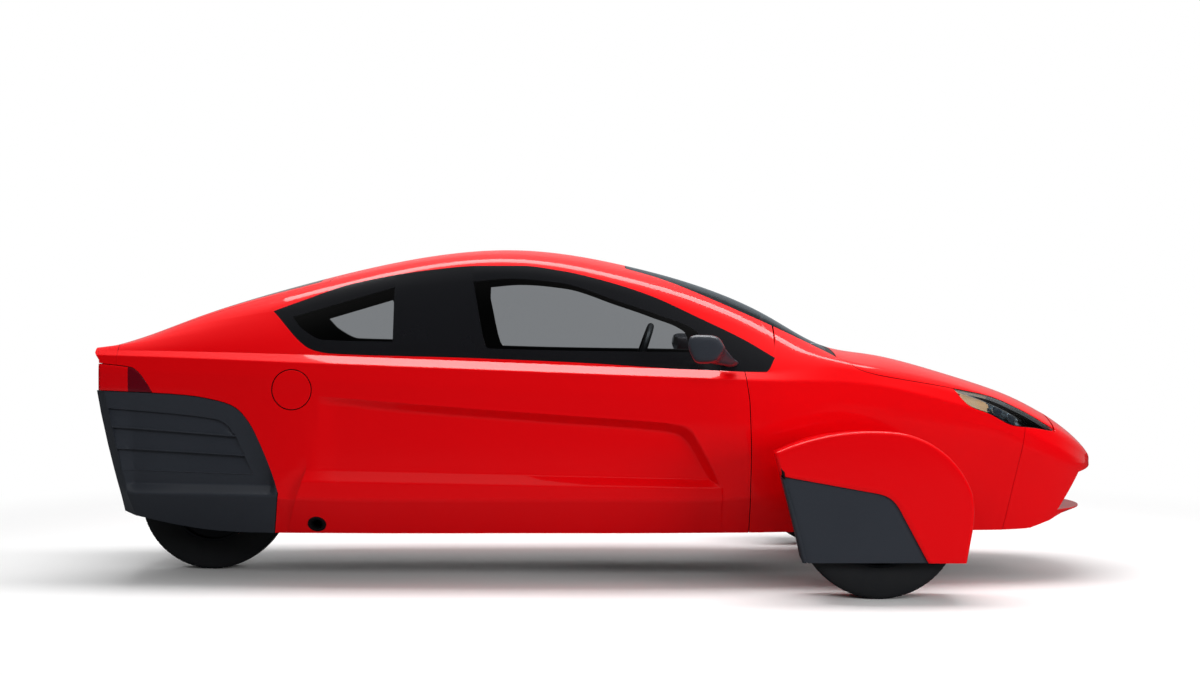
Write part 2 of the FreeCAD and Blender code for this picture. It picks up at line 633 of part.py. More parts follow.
def knuckleShape():
    """The right upright: plate, ball joint ears, stub axle, steering arm and fairing brackets."""
    plate = block(frontAxle - 90, frontAxle + 90, -uprightOuter, -uprightInner, wheelCentre - 50, wheelCentre + 50)
    post = block(frontAxle - 22, frontAxle + 22, -uprightInner - 30, -uprightInner, armLow + 22, armHigh - 22)
    stub = rod(Vector(frontAxle, -uprightOuter, wheelCentre),
               Vector(frontAxle, -size("WheelPlane") - 30, wheelCentre), size("AxleRadius"))
    shape = plate.fuse([post, stub])
    for along in (-1, 1):
        near = frontAxle + along * 62
        end = frontAxle + along * 90
        tip = frontAxle + along * 192
        legX = (min(near, end), max(near, end))
        tabX = (min(near, tip), max(near, tip))
        shape = shape.fuse(block(legX[0], legX[1], -uprightInner, -podInner - podWall,
                                 wheelCentre - 50, wheelCentre + 50))
        shape = shape.fuse(block(tabX[0], tabX[1], -podInner - podWall - 14, -podInner - podWall,
                                 wheelCentre - 50, wheelCentre + 50))
    steerTop = rackZ - size("RodRadius") - 5
    steer = block(rackX - 14, frontAxle - 76, -size("KingpinPlane") - 10, -size("KingpinPlane") + 10,
                  steerTop - 14, steerTop)
    riser = block(frontAxle - 90, frontAxle - 62, -uprightOuter, -uprightInner, wheelCentre, steerTop)
    shape = shape.fuse([steer, riser]).removeSplitter()
    for end, inward in ((armLow, 1), (armHigh, -1)):
        foot = Vector(frontAxle, -size("KingpinPlane"), end)
        bore = rod(foot, foot + Vector(0, 0, inward * 48), size("PinRadius") + size("AxleFit"))
        shape = shape.cut(bore)
    return shape


# Side outline of a wheel fairing: places from the wheel's centre along X, heights as shares
# of the tyre's height.
podRearTop = (frontAxle - 411, tyreTop * 0.913)
podRearFoot = (frontAxle - 304, podBottom)
podFrontFoot = (frontAxle + 322, podBottom)


def podWire(inset, foot, wide):
    """The closed side outline at one distance from the centre plane, set in all but at its foot."""
    rearTop = Vector(podRearTop[0] + inset, -wide, podRearTop[1] - inset)
    rearFoot = Vector(podRearFoot[0] + inset * 1.1, -wide, foot)
    frontFoot = Vector(podFrontFoot[0] - inset * 1.1, -wide, foot)
    crown = Vector(frontAxle + 20, -wide, tyreTop * 1.042 - inset)
    rise = Vector(frontAxle - 210, -wide, tyreTop * 1.018 - inset)
    brow = Vector(frontAxle + 345 - inset, -wide, tyreTop * 0.66)
    shoulder = Vector(frontAxle + 232 - inset * 0.7, -wide, tyreTop * 0.917 - inset * 0.7)
    chin = Vector(frontAxle + 345 - inset, -wide, tyreTop * 0.43)
    return Part.Wire([
        Part.makeLine(rearFoot, rearTop),
        Part.Arc(rearTop, rise, crown).toShape(),
        Part.Arc(crown, shoulder, brow).toShape(),
        Part.makeLine(brow, chin),
        Part.makeLine(chin, frontFoot),
        Part.makeLine(frontFoot, rearFoot),
    ])


# How the fairing's outer edge is rounded: distance in from its outer face, inset of the outline.
podEdge = [(30, 0), (16, 3), (6, 10), (0, 22)]


def podSolid(wall, foot):
    """The fairing's body, or the space inside its wall, with the inner side drawn in at both ends."""
    wires = [podWire(wall, foot, podInner + wall)]
    wires += [podWire(inset + wall, foot, podOuter - wall - depth) for depth, inset in podEdge]
    whole = Part.makeLoft(wires, True, True)
    inside = -podInner - wall
    outside = -podOuter - 60
    corners = [(-500, inside - 100), (-250, inside), (250, inside), (500, inside - 106), (500, outside),
               (-500, outside)]
    points = [Vector(frontAxle + x, y, 0) for x, y in corners]
    plan = Part.Face(Part.makePolygon(points + points[:1])).extrude(Vector(0, 0, 2 * tyreTop))
    return whole.common(plan)


podInside = podSolid(podWall, podBottom - 60)
podSlot = block(frontAxle - 150, frontAxle + 150, -podInner - podWall - 30, -podInner + 30, podBottom - 10, 500)
podWhole = podSolid(0, podBottom).cut(podInside).cut(podSlot)

panelOutline = [(podRearFoot[0] - 90, tyreTop * 0.772), (frontAxle - 50, tyreTop * 0.675),
                (frontAxle + 65, tyreTop * 0.566), (frontAxle + 158, podBottom - 20),
                (podRearFoot[0] - 20, podBottom - 20)]
coverOutline = [(podRearFoot[0] - 90, tyreTop * 0.772 + 14), (frontAxle - 44, tyreTop * 0.675 + 16),
                (frontAxle + 78, tyreTop * 0.566 + 12), (frontAxle + 172, podBottom),
                (podRearFoot[0] - 20, podBottom)]
panelHole = plain(panelOutline, -podOuter - 50, -podOuter + podWall + 0.5)
podRight = podWhole.cut(panelHole)
coverRight = podInside.common(plain(coverOutline, -podOuter + podWall, -podOuter + 2 * podWall))
knuckleRight = knuckleShape()
for side, label in ((right, "right"), (left, "left")):
    for name, shape in (("knuckle_", knuckleRight), ("pod_", podRight), ("pod_cover_", coverRight)):
        feature(name + label, shape if side == right else mirrored(shape))

print("wheels")


def revolved(label, profile, placeX, placeY):
    """A PartDesign body turned about its own Y axis. profile holds (across, radius)."""
    turned = doc.addObject("PartDesign::Body", "Body_" + label)
    plane = [item for item in turned.Origin.OriginFeatures if item.Role == "YZ_Plane"][0]
    sketch = turned.newObject("Sketcher::SketchObject", "Profile_" + label)
    sketch.AttachmentSupport = [(plane, "")]
    sketch.MapMode = "FlatFace"
    count = len(profile)
    rough = [Vector(10 * index, 100 + 7 * index * index, 0) for index in range(count)]
    for index in range(count):
        sketch.addGeometry(Part.LineSegment(rough[index], rough[(index + 1) % count]), False)
    for index in range(count):
        sketch.addConstraint(Sketcher.Constraint("Coincident", index, 2, (index + 1) % count, 1))
    for index, (across, radius) in enumerate(profile):
        first = sketch.addConstraint(Sketcher.Constraint("DistanceX", -1, 1, index, 1, rough[index].x or 1.0))
        second = sketch.addConstraint(Sketcher.Constraint("DistanceY", -1, 1, index, 1, rough[index].y))
        sketch.setExpression(f"Constraints[{first}]", across)
        sketch.setExpression(f"Constraints[{second}]", radius)
    turn = turned.newObject("PartDesign::Revolution", "Turn_" + label)
    turn.Profile = sketch
    turn.ReferenceAxis = (sketch, ["H_Axis"])
    turn.Angle = 360
    turned.Placement = Placement(Vector(placeX, placeY, wheelCentre), Rotation())
    turned.setExpression("Placement.Base.z", "Sizes.TyreRadius")
    return keep(turned, label)


def tyreProfile(width):
    """Tread, rounded shoulders in two steps, side walls and the bead."""
    return [
        (f"-{width} / 2 + 12", "Sizes.RimRadius"),
        (f"-{width} / 2", "Sizes.RimRadius + 30"),
        (f"-{width} / 2", "Sizes.TyreRadius - 44"),
        (f"-{width} / 2 + 8", "Sizes.TyreRadius - 14"),
        (f"-{width} / 2 + 24", "Sizes.TyreRadius - 2"),
        (f"-{width} / 2 + 45", "Sizes.TyreRadius"),
        (f"{width} / 2 - 45", "Sizes.TyreRadius"),
        (f"{width} / 2 - 24", "Sizes.TyreRadius - 2"),
        (f"{width} / 2 - 8", "Sizes.TyreRadius - 14"),
        (f"{width} / 2", "Sizes.TyreRadius - 44"),
        (f"{width} / 2", "Sizes.RimRadius + 30"),
        (f"{width} / 2 - 12", "Sizes.RimRadius"),
    ]


def rimProfile(width, out):
    """Barrel, disc and hub; out is the side the disc sits on, 1 for +Y and -1 for -Y."""
    bore = "Sizes.AxleRadius + Sizes.AxleFit"
    face = f"{out} * ({width} / 2 - 30)"
    back = f"{out} * ({width} / 2 - 42)"
    return [
        (f"{out} * (12 - {width} / 2)", "Sizes.RimRadius"),
        (f"{out} * ({width} / 2 - 12)", "Sizes.RimRadius"),
        (f"{out} * ({width} / 2 - 12)", "Sizes.RimRadius - 9"),
        (face, "Sizes.RimRadius - 12"),
        (face, "Sizes.HubRadius"),
        (f"{out} * ({width} / 2 - 20)", "Sizes.HubRadius"),
        (f"{out} * ({width} / 2 - 20)", bore),
        (f"{out} * -15", bore),
        (f"{out} * -15", "Sizes.HubRadius"),
        (back, "Sizes.HubRadius"),
        (back, "Sizes.RimRadius - 12"),
        (f"{out} * (12 - {width} / 2)", "Sizes.RimRadius - 9"),
    ]


for side, label in ((right, "front_right"), (left, "front_left")):
    place = side * size("WheelPlane")
    tyre = revolved("tyre_" + label, tyreProfile("Sizes.TyreWidth"), frontAxle, place)
    rim = revolved("rim_" + label, rimProfile("Sizes.TyreWidth", side), frontAxle, place)
    for item in (tyre, rim):
        item.setExpression("Placement.Base.y", f"{side} * Sizes.WheelPlane")
revolved("tyre_rear", tyreProfile("Sizes.RearTyreWidth"), rearAxle, 0)
revolved("rim_rear", rimProfile("Sizes.RearTyreWidth", right), rearAxle, 0)

print("cabin")
seatOutline = [(30, floorTop), (30, 420), (-400, 400), (-540, 860), (-630, 860), (-520, floorTop)]
seatHalf = size("SeatWidth") / 2
for label, shift in (("driver_seat", 0), ("passenger_seat", -670)):
    outline = [(alongX(x + shift), z if z == floorTop else upZ(z)) for x, z in seatOutline]
    feature(label, plain(outline, -seatHalf, seatHalf))

dashOutline = [(wallX, 560), (wallX, dashFoot), (765, 800), (620, 832), (470, 804), (425, 700), (490, 560)]
dashHull = hull(300, 900, size("SideThickness") + gap + 3, size("PillarThickness"), size("RoofThickness"))
dashShape = dashHull.common(prism(dashOutline))
wheelHub = Vector(alongX(143), 0, upZ(896))
tilt = math.radians(size("ColumnTilt"))
toDriver = Vector(-math.cos(tilt), 0, math.sin(tilt))
columnShape = rod(wheelHub - toDriver * 45, wheelHub - toDriver * 360, 28)
columnShape = columnShape.fuse(rod(wheelHub - toDriver * 60, wheelHub - toDriver * 10, size("ColumnShaftRadius")))
feature("dashboard", dashShape.fuse(columnShape).removeSplitter())

turnUp = Rotation(Vector(0, 0, 1), toDriver)
grip = Part.makeTorus(size("SteeringWheelRadius"), size("GripRadius"))
hub = Part.makeCylinder(42, 44, Vector(0, 0, -38))
hubBore = Part.makeCylinder(size("ColumnShaftRadius") + size("AxleFit"), 34, Vector(0, 0, -40))
spokes = []
for angle in (90, 210, 330):
    spoke = Part.makeBox(size("SteeringWheelRadius"), 30, 14, Vector(0, -15, -12))
    spoke.rotate(Vector(0, 0, 0), Vector(0, 0, 1), angle)
    spokes.append(spoke)
steeringShape = grip.fuse([hub] + spokes).removeSplitter().cut(hubBore)
feature("steering_wheel", steeringShape, Placement(wheelHub, turnUp))

grillePlate = block(mouthRear - 14, mouthRear, -acrossY(235), acrossY(235), upZ(300), upZ(440))
grilleShape = bayHull.common(grillePlate)
feature("intake_grille", grilleShape)

# Mirror housings: sections outwards from the door's shoulder. Share of the reach, then the
# middle and half size of the section in X and in Z, and the section's lean.
mirrorTable = [(-0.45, 505, 903, 36, 15), (0.0, 500, 905, 34, 14), (0.3, 470, 915, 40, 18), (0.42, 420, 950, 62, 42),
               (0.7, 395, 962, 78, 60), (0.92, 390, 964, 74, 56), (1.0, 396, 962, 56, 40)]


def mirrorShape():
    wires = []
    for share, middleX, middleZ, halfX, halfZ in mirrorTable:
        y = -acrossY(514) - share * size("MirrorReach")
        places = [(-0.5, -1), (0.6, -0.9), (1, 0.1), (0.5, 1), (-0.8, 0.95), (-1, 0.2)]
        points = [Vector(alongX(middleX) + a * halfX, y, upZ(middleZ) + b * halfZ) for a, b in places]
        wires.append(Part.makePolygon(points + points[:1]))
    return Part.makeLoft(wires, True, True)


mirrorRight = mirrorShape()
feature("mirror_right", mirrorRight.cut(body))
feature("mirror_left", mirrored(mirrorRight).cut(body))

doc.recompute()
for item in doc.Objects:
    if "Invalid" in item.State or "Error" in item.State:
        raise RuntimeError(f"{item.Label} failed: {item.State}")
os.makedirs("parts", exist_ok=True)
for piece in pieces:
    shape = piece.Shape
    if shape.isNull() or not shape.isValid():
        raise RuntimeError(f"{piece.Label} has no valid shape")
    shape.exportStep(os.path.join("parts", piece.Label + ".step"))
    box = shape.optimalBoundingBox(False)
    print(f"{piece.Label:18s} {len(shape.Solids)} {shape.Volume / 1e6:8.2f} L",
          f"x {box.XMin:6.0f} {box.XMax:6.0f} y {box.YMin:6.0f} {box.YMax:6.0f} z {box.ZMin:6.0f} {box.ZMax:6.0f}")
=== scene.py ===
import json
import math

import bmesh
import bpy
import numpy as np
from mathutils import Matrix, Vector


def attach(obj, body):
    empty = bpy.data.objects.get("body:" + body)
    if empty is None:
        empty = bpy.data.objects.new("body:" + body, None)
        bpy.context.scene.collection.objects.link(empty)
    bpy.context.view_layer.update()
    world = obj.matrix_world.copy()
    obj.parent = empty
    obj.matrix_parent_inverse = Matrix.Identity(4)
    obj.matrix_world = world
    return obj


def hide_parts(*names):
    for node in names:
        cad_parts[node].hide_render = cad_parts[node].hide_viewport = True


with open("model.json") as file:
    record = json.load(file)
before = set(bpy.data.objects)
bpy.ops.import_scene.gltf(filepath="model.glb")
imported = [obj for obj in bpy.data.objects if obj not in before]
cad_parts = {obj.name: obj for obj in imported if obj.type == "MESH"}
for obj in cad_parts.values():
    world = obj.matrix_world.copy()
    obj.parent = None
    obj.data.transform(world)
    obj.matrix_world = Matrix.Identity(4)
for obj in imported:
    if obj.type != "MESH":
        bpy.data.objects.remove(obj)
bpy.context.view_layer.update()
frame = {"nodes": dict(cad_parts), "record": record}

scene = bpy.context.scene
nodes = frame["nodes"]
mm = 0.001


# An sRGB hex colour as linear values: c/12.92 below 0.04045, else ((c + 0.055)/1.055)^2.4.
def linearColour(hexText, alpha=1.0):
    srgb = np.array([int(hexText[i:i + 2], 16) for i in (1, 3, 5)]) / 255
    linear = np.where(srgb <= 0.04045, srgb / 12.92, ((srgb + 0.055) / 1.055) ** 2.4)
    return (*linear.tolist(), alpha)


# Adds one node, sets its properties and inputs, and links (socket name, from socket).
def addNode(tree, kind, settings=(), links=(), **inputs):
    node = tree.nodes.new(kind)
    for name, value in dict(settings).items():
        setattr(node, name, value)
    for name, value in inputs.items():
        node.inputs[name.replace("_", " ")].default_value = value
    for name, source in dict(links).items():
        tree.links.new(source, node.inputs[name])
    return node


# A new material, its node tree and its Principled shader.
def newMaterial(name):
    material = bpy.data.materials.new(name)
    material.use_nodes = True
    tree = material.node_tree
    return material, tree, tree.nodes["Principled BSDF"]


materials = {}


# A solid finish. grain = (spacing in mm, bump distance in mm, roughness swing); blotch = (size in
# mm, second colour, share) varies the colour softly.
def finish(name, colour, rough, metal=0.0, coat=0.0, coatRough=0.03, grain=None, blotch=None,
           ior=1.5, sheen=0.0):
    material, tree, shader = newMaterial(name)
    shader.inputs["Base Color"].default_value = linearColour(colour)
    shader.inputs["Roughness"].default_value = rough
    shader.inputs["Metallic"].default_value = metal
    shader.inputs["Coat Weight"].default_value = coat
    shader.inputs["Coat Roughness"].default_value = coatRough
    if not metal:
        shader.inputs["IOR"].default_value = ior
    if sheen:
        shader.inputs["Sheen Weight"].default_value = sheen
    place = addNode(tree, "ShaderNodeTexCoord")
    if blotch:
        blotchSize, second, share = blotch
        cloud = addNode(tree, "ShaderNodeTexNoise", {}, {"Vector": place.outputs["Object"]},
                        Scale=1 / (blotchSize * mm), Detail=3.0)
        amount = addNode(tree, "ShaderNodeMath", {"operation": "MULTIPLY"},
                         {"Value": cloud.outputs["Fac"]})
        amount.inputs[1].default_value = share
        mixed = addNode(tree, "ShaderNodeMix", {"data_type": "RGBA"},
                        {"Factor": amount.outputs["Value"]}, A=linearColour(colour),
                        B=linearColour(second))
        tree.links.new(mixed.outputs["Result"], shader.inputs["Base Color"])
    if grain:
        spacing, height, swing = grain
        speck = addNode(tree, "ShaderNodeTexNoise", {}, {"Vector": place.outputs["Object"]},
                        Scale=1 / (spacing * mm), Detail=2.0)
        bump = addNode(tree, "ShaderNodeBump", {}, {"Height": speck.outputs["Fac"]},
                       Strength=1.0, Distance=height * mm)
        tree.links.new(bump.outputs["Normal"], shader.inputs["Normal"])
        if swing:
            spread = addNode(tree, "ShaderNodeMapRange", {}, {"Value": speck.outputs["Fac"]},
                             To_Min=rough - swing, To_Max=rough + swing)
            tree.links.new(spread.outputs["Result"], shader.inputs["Roughness"])
    materials[name] = material


print("materials")
# Sprayed polyester paint over composite panels, clear lacquer on top: deep colour and sharp
# highlights.
finish("lacqueredRedPaint", "#f8000a", 0.42, coat=0.6, coatRough=0.03, blotch=(900, "#ea0009", 0.5),
       ior=1.2)
# Moulded polypropylene with an etched grain: broad dull highlights.
finish("grainedPolypropylene", "#30343c", 0.46, coat=0.3, coatRough=0.22, grain=(2.4, 0.12, 0.06),
       blotch=(300, "#393e46", 0.6))
# Moulded ABS with a fine texture: dull black inner walls, trims and shells.
finish("mouldedBlackPlastic", "#121316", 0.45, grain=(3.0, 0.06, 0.04))
# Gloss black enamelled trim round the windows.
finish("glossBlackTrim", "#131417", 0.2, coat=0.0, ior=1.38, blotch=(200, "#1a1b1f", 0.5))
# Steel sprayed matt black, machined steel, sand-cast aluminium and cast wheels made dark grey all
# over.
finish("sprayedBlackSteel", "#0c0c0e", 0.5, metal=0.0, grain=(4.0, 0.05, 0.05))
finish("darkMachinedSteel", "#4b4c50", 0.38, metal=1.0, grain=(6.0, 0.02, 0.05))
finish("castAluminium", "#8d9094", 0.5, metal=1.0, grain=(3.0, 0.15, 0.08))
finish("darkGreyAlloyWheel", "#36373a", 0.42, metal=1.0, grain=(4.0, 0.03, 0.05))
# Vulcanised rubber, matt with a dusty bloom; woven polyester, matt with a faint sheen.
finish("tyreRubber", "#1e2023", 0.72, grain=(5.0, 0.1, 0.06), blotch=(60, "#2c2c2d", 0.6))
finish("wovenSeatFabric", "#1b1c1f", 0.9, sheen=0.3, grain=(2.5, 0.25, 0.05))


# Pane glass: share clear passes straight through tinted, the rest is a gloss reflection.
def glassMaterial(name, colour, clear, rough=0.02, ior=1.45):
    material, tree, shader = newMaterial(name)
    tree.nodes.remove(shader)
    output = tree.nodes["Material Output"]
    through = addNode(tree, "ShaderNodeBsdfTransparent", {}, {}, Color=linearColour(clear))
    gloss = addNode(tree, "ShaderNodeBsdfGlossy", {}, {}, Color=linearColour(colour),
                    Roughness=rough)
    edge = addNode(tree, "ShaderNodeFresnel", {}, {}, IOR=ior)
    mixed = addNode(tree, "ShaderNodeMixShader", {},
                    {0: edge.outputs["Fac"], 1: through.outputs["BSDF"], 2: gloss.outputs["BSDF"]})
    tree.links.new(mixed.outputs["Shader"], output.inputs["Surface"])
    materials[name] = material


# Panes: laminated and tempered glass, flat and clear. Tail lamps: red moulded acrylic, nearly
# black where no bulb is behind it.
glassMaterial("tintedSafetyGlass", "#ffffff", "#b3b5b7")
glassMaterial("clearSafetyGlass", "#e6f2fb", "#e3eef4", ior=1.2)
finish("redLampLens", "#ee000c", 0.16, coat=0.3, grain=(7.0, 0.15, 0.0))
finish("darkLampLens", "#6a0014", 0.16, coat=0.3, grain=(7.0, 0.1, 0.0))
glassMaterial("clearLampLens", "#ffffff", "#f2f6f8")
# Behind the clear lens: an aluminised reflector, an amber indicator whose cream blotches are a
# painted highlight, and a dark housing.
finish("aluminisedReflector", "#c4d2de", 0.16, metal=1.0, grain=(9.0, 0.3, 0.0))
# Amber is the indicator's own colour; the cream mixed over it is a painted highlight.
finish("amberIndicatorPaintedHighlight", "#ffb45e", 0.4, coat=0.2, blotch=(90, "#fff4e0", 0.8))
finish("darkLampHousing", "#0b1626", 0.3, coat=0.3)
finish("projectorGlass", "#16283c", 0.06, coat=1.0)
finish("silveredMirror", "#d8dde2", 0.04, metal=1.0)

slotFinish = {"red_paint": "lacqueredRedPaint", "grained_plastic": "grainedPolypropylene",
              "black_plastic": "mouldedBlackPlastic", "gloss_black": "glossBlackTrim",
              "clear_glass": "clearSafetyGlass", "tinted_glass": "tintedSafetyGlass",
              "lamp_lens": "clearLampLens", "red_lens": "redLampLens",
              "dark_steel": "darkMachinedSteel", "black_steel": "sprayedBlackSteel",
              "cast_alloy": "castAluminium", "wheel_alloy": "darkGreyAlloyWheel",
              "tyre_rubber": "tyreRubber", "seat_fabric": "wovenSeatFabric"}
for entry in frame["record"]["subparts"]:
    for materialSlot in nodes[entry["node"]].material_slots:
        materialSlot.material = materials[slotFinish[entry["material_slot"]]]

print("studio")
cameraValues = {"place": (-0.025, -6.5, 1.053), "lens": 44.56, "sensor": 36, "shiftY": -0.0096,
                "farClip": 200}
camera = bpy.data.cameras.new("camera")
camera.lens = cameraValues["lens"]
camera.sensor_width = cameraValues["sensor"]
camera.shift_y = cameraValues["shiftY"]
camera.clip_end = cameraValues["farClip"]
cameraObject = bpy.data.objects.new("camera", camera)
cameraObject.location = cameraValues["place"]
cameraObject.rotation_euler = (math.radians(90), 0, 0)
scene.collection.objects.link(cameraObject)
scene.camera = cameraObject


# Rises smoothly from one value to another while its source goes through a range.
def smoothRise(tree, source, start, reached=(0.0, 1.0)):
    return addNode(tree, "ShaderNodeMapRange", {"interpolation_type": "SMOOTHSTEP"},
                   {"Value": source}, From_Min=start[0], From_Max=start[1], To_Min=reached[0],
                   To_Max=reached[1])


# Two shaders mixed by a share of the second.
def mixedShader(tree, share, first, second):
    return addNode(tree, "ShaderNodeMixShader", {},
                   {0: share, 1: first, 2: second}).outputs["Shader"]


# A pale floor that takes the car's shadow near it and is plain white backdrop beyond, so that no
# horizon shows: the share of backdrop rises with the distance from the middle.
def studioFloor():
    finish("paleStudioFloor", studio["floorGrey"], 0.9, ior=1.2, blotch=(900, "#f4f4f4", 0.5))
    material = materials["paleStudioFloor"]
    tree = material.node_tree
    where = addNode(tree, "ShaderNodeTexCoord")
    distance = addNode(tree, "ShaderNodeVectorMath", {"operation": "LENGTH"},
                       {"Vector": where.outputs["Object"]})
    rise = smoothRise(tree, distance.outputs["Value"], studio["fade"])
    white = addNode(tree, "ShaderNodeEmission", {}, {}, Strength=1.0)
    ground = mixedShader(tree, rise.outputs["Result"],
                         tree.nodes["Principled BSDF"].outputs["BSDF"], white.outputs["Emission"])
    # What the car itself gets back from the floor is a dimmer grey.
    bounce = addNode(tree, "ShaderNodeBsdfDiffuse", {}, {},
                     Color=linearColour(studio["bounceGrey"]))
    ray = addNode(tree, "ShaderNodeLightPath")
    dim = addNode(tree, "ShaderNodeBsdfDiffuse", {}, {}, Color=linearColour(studio["mirrorGrey"]))
    returned = mixedShader(tree, ray.outputs["Is Glossy Ray"], bounce.outputs["BSDF"],
                           dim.outputs["BSDF"])
    either = mixedShader(tree, ray.outputs["Is Camera Ray"], returned, ground)
    tree.links.new(either, tree.nodes["Material Output"].inputs["Surface"])
    return material


studio = {"floorReach": 60, "floorGrey": "#f6f6f6", "fade": (2.7, 4.6), "skyRange": (0.45, 1.0),
          "skyLight": (0.03, 0.5), "farRange": (0.1, 0.8), "farLight": (0.0, 0.35),
          "bounceGrey": "#969696", "mirrorGrey": "#505254"}
floorMesh = bpy.data.meshes.new("floor")
reach = studio["floorReach"]
floorMesh.from_pydata([(-reach, -reach, 0), (reach, -reach, 0), (reach, reach, 0),
                       (-reach, reach, 0)], [], [(0, 1, 2, 3)])
floor = bpy.data.objects.new("floor", floorMesh)
scene.collection.objects.link(floor)
floorMesh.materials.append(studioFloor())

world = bpy.data.worlds.new("studio")
scene.world = world
world.use_nodes = True
worldTree = world.node_tree
background = worldTree.nodes["Background"]
# Light from above and, low down, from the far side only, so that level surfaces catch a bright
# line and upright ones stay deep; the backdrop itself is seen plain white.
skyWay = addNode(worldTree, "ShaderNodeTexCoord")
skySplit = addNode(worldTree, "ShaderNodeSeparateXYZ", {}, {"Vector": skyWay.outputs["Generated"]})
skyRise = smoothRise(worldTree, skySplit.outputs["Z"], studio["skyRange"], studio["skyLight"])
farRise = smoothRise(worldTree, skySplit.outputs["Y"], studio["farRange"], studio["farLight"])
skySum = addNode(worldTree, "ShaderNodeMath", {"operation": "ADD"},
                 {0: skyRise.outputs["Result"], 1: farRise.outputs["Result"]})
seen = addNode(worldTree, "ShaderNodeLightPath")
skyMix = addNode(worldTree, "ShaderNodeMix", {"data_type": "FLOAT"},
                 {"Factor": seen.outputs["Is Camera Ray"], "A": skySum.outputs["Value"]}, B=1.0)
worldTree.links.new(skyMix.outputs["Result"], background.inputs["Strength"])
background.inputs["Color"].default_value = (1, 1, 1, 1)


# A soft rectangular lamp that looks at a target; glossy says whether it shows in reflections.
def areaLight(name, place, target, width, depth, power, glossy=True):
    lamp = bpy.data.lights.new(name, "AREA")
    lamp.shape = "RECTANGLE"
    lamp.size = width
    lamp.size_y = depth
    lamp.energy = power
    lampObject = bpy.data.objects.new(name, lamp)
    lampObject.location = place
    lampObject.visible_glossy = glossy
    aim = np.array(target) - np.array(place)
    lampObject.rotation_euler = Vector(aim.tolist()).to_track_quat("-Z", "Y").to_euler()
    scene.collection.objects.link(lampObject)


areaLight("overhead", (0, 0.05, 4.5), (0, 0, 0), 6, 1.2, 220)
areaLight("nearSide", (0, -6, 3.6), (0, 0, 0.5), 7, 2, 150, glossy=False)
areaLight("nearFront", (5.5, -4.5, 1.6), (1.6, 0, 0.4), 2.5, 2, 150, glossy=False)
areaLight("farSide", (0, 6, 3.6), (0, 0, 0.5), 7, 2, 150, glossy=False)

print("body surfaces")
# Sections of the body along X, in mm: half widths w and heights z of b bottom corner, c lower
# side, d shoulder crease, e and f edges of the belt, g roof rail, and the top height zh.
sectionTable = np.array([
    (-2130, 290, 300, 350, 420, 390, 800, 384, 935, 368, 952, 325, 950, 958),
    (-1950, 312, 262, 388, 420, 416, 800, 412, 930, 392, 952, 333, 996, 1016),
    (-1700, 340, 216, 426, 400, 444, 798, 440, 922, 416, 948, 338, 1086, 1110),
    (-1300, 412, 205, 494, 360, 486, 780, 482, 907, 452, 938, 356, 1193, 1234),
    (-800, 436, 206, 512, 350, 518, 742, 514, 888, 478, 920, 372, 1303, 1348),
    (-350, 440, 207, 515, 350, 530, 708, 526, 871, 488, 903, 378, 1336, 1381),
    (100, 440, 207, 515, 350, 532, 676, 528, 853, 490, 885, 368, 1258, 1312),
    (500, 432, 208, 508, 352, 522, 652, 516, 838, 484, 870, 352, 1138, 1192),
    (700, 415, 208, 488, 368, 505, 655, 500, 832, 474, 866, 358, 1046, 1098),
    (930, 375, 208, 447, 400, 474, 668, 474, 826, 452, 882, 386, 936, 972),
    (1150, 350, 208, 415, 410, 450, 650, 449, 802, 430, 842, 368, 890, 930),
    (1400, 335, 206, 390, 410, 424, 620, 420, 742, 400, 786, 332, 834, 868),
    (1600, 325, 205, 365, 400, 400, 580, 396, 682, 376, 722, 300, 774, 806),
    (1750, 312, 210, 342, 380, 376, 535, 370, 615, 350, 652, 268, 716, 750),
    (1900, 262, 224, 292, 355, 318, 480, 312, 538, 290, 575, 215, 640, 671),
    (2020, 165, 244, 190, 335, 208, 440, 204, 482, 190, 512, 140, 562, 582),
    (2100, 30, 268, 36, 320, 42, 430, 40, 452, 36, 468, 26, 480, 488)], float)
bodyShape = {"flankBulge": 3, "glassBulge": 10, "railRound": 75, "bendLimit": 0.45, "seam": 1.6,
             "skin": 14, "edge": 1.6, "edgeAngle": 50, "shading": 60}
seam = bodyShape["seam"]


# A natural cubic spline through rows of values: (M0 (b-x)^3 + M1 (x-a)^3) / 6h plus a line.
def splineTable(places, values):
    h = np.diff(places)
    count = len(places)
    matrix = np.eye(count)
    right = np.zeros_like(values)
    for i in range(1, count - 1):
        matrix[i, i - 1:i + 2] = h[i - 1], 2 * (h[i - 1] + h[i]), h[i]
        right[i] = 6 * ((values[i + 1] - values[i]) / h[i] - (values[i] - values[i - 1]) / h[i - 1])
    bend = np.linalg.solve(matrix, right)

    def at(x):
        x = np.clip(np.asarray(x, float), places[0], places[-1])
        i = np.clip(np.searchsorted(places, x) - 1, 0, count - 2)
        a, b, step = places[i], places[i + 1], h[i]
        before, after = ((b - x) / step)[..., None], ((x - a) / step)[..., None]
        curve = bend[i] * (before ** 3 - before) + bend[i + 1] * (after ** 3 - after)
        return values[i] * before + values[i + 1] * after + curve * (step ** 2 / 6)[..., None]
    return at


sectionSpline = splineTable(sectionTable[:, 0], sectionTable[:, 1:])


# The section's corners b c d e f g h as (half width, height) pairs at each x.
def cornerAt(x):
    values = sectionSpline(x)
    corners = {name: values[..., 2 * i:2 * i + 2] for i, name in enumerate("bcdefg")}
    corners["h"] = np.stack([np.zeros_like(values[..., 12]), values[..., 12]], -1)
    return corners


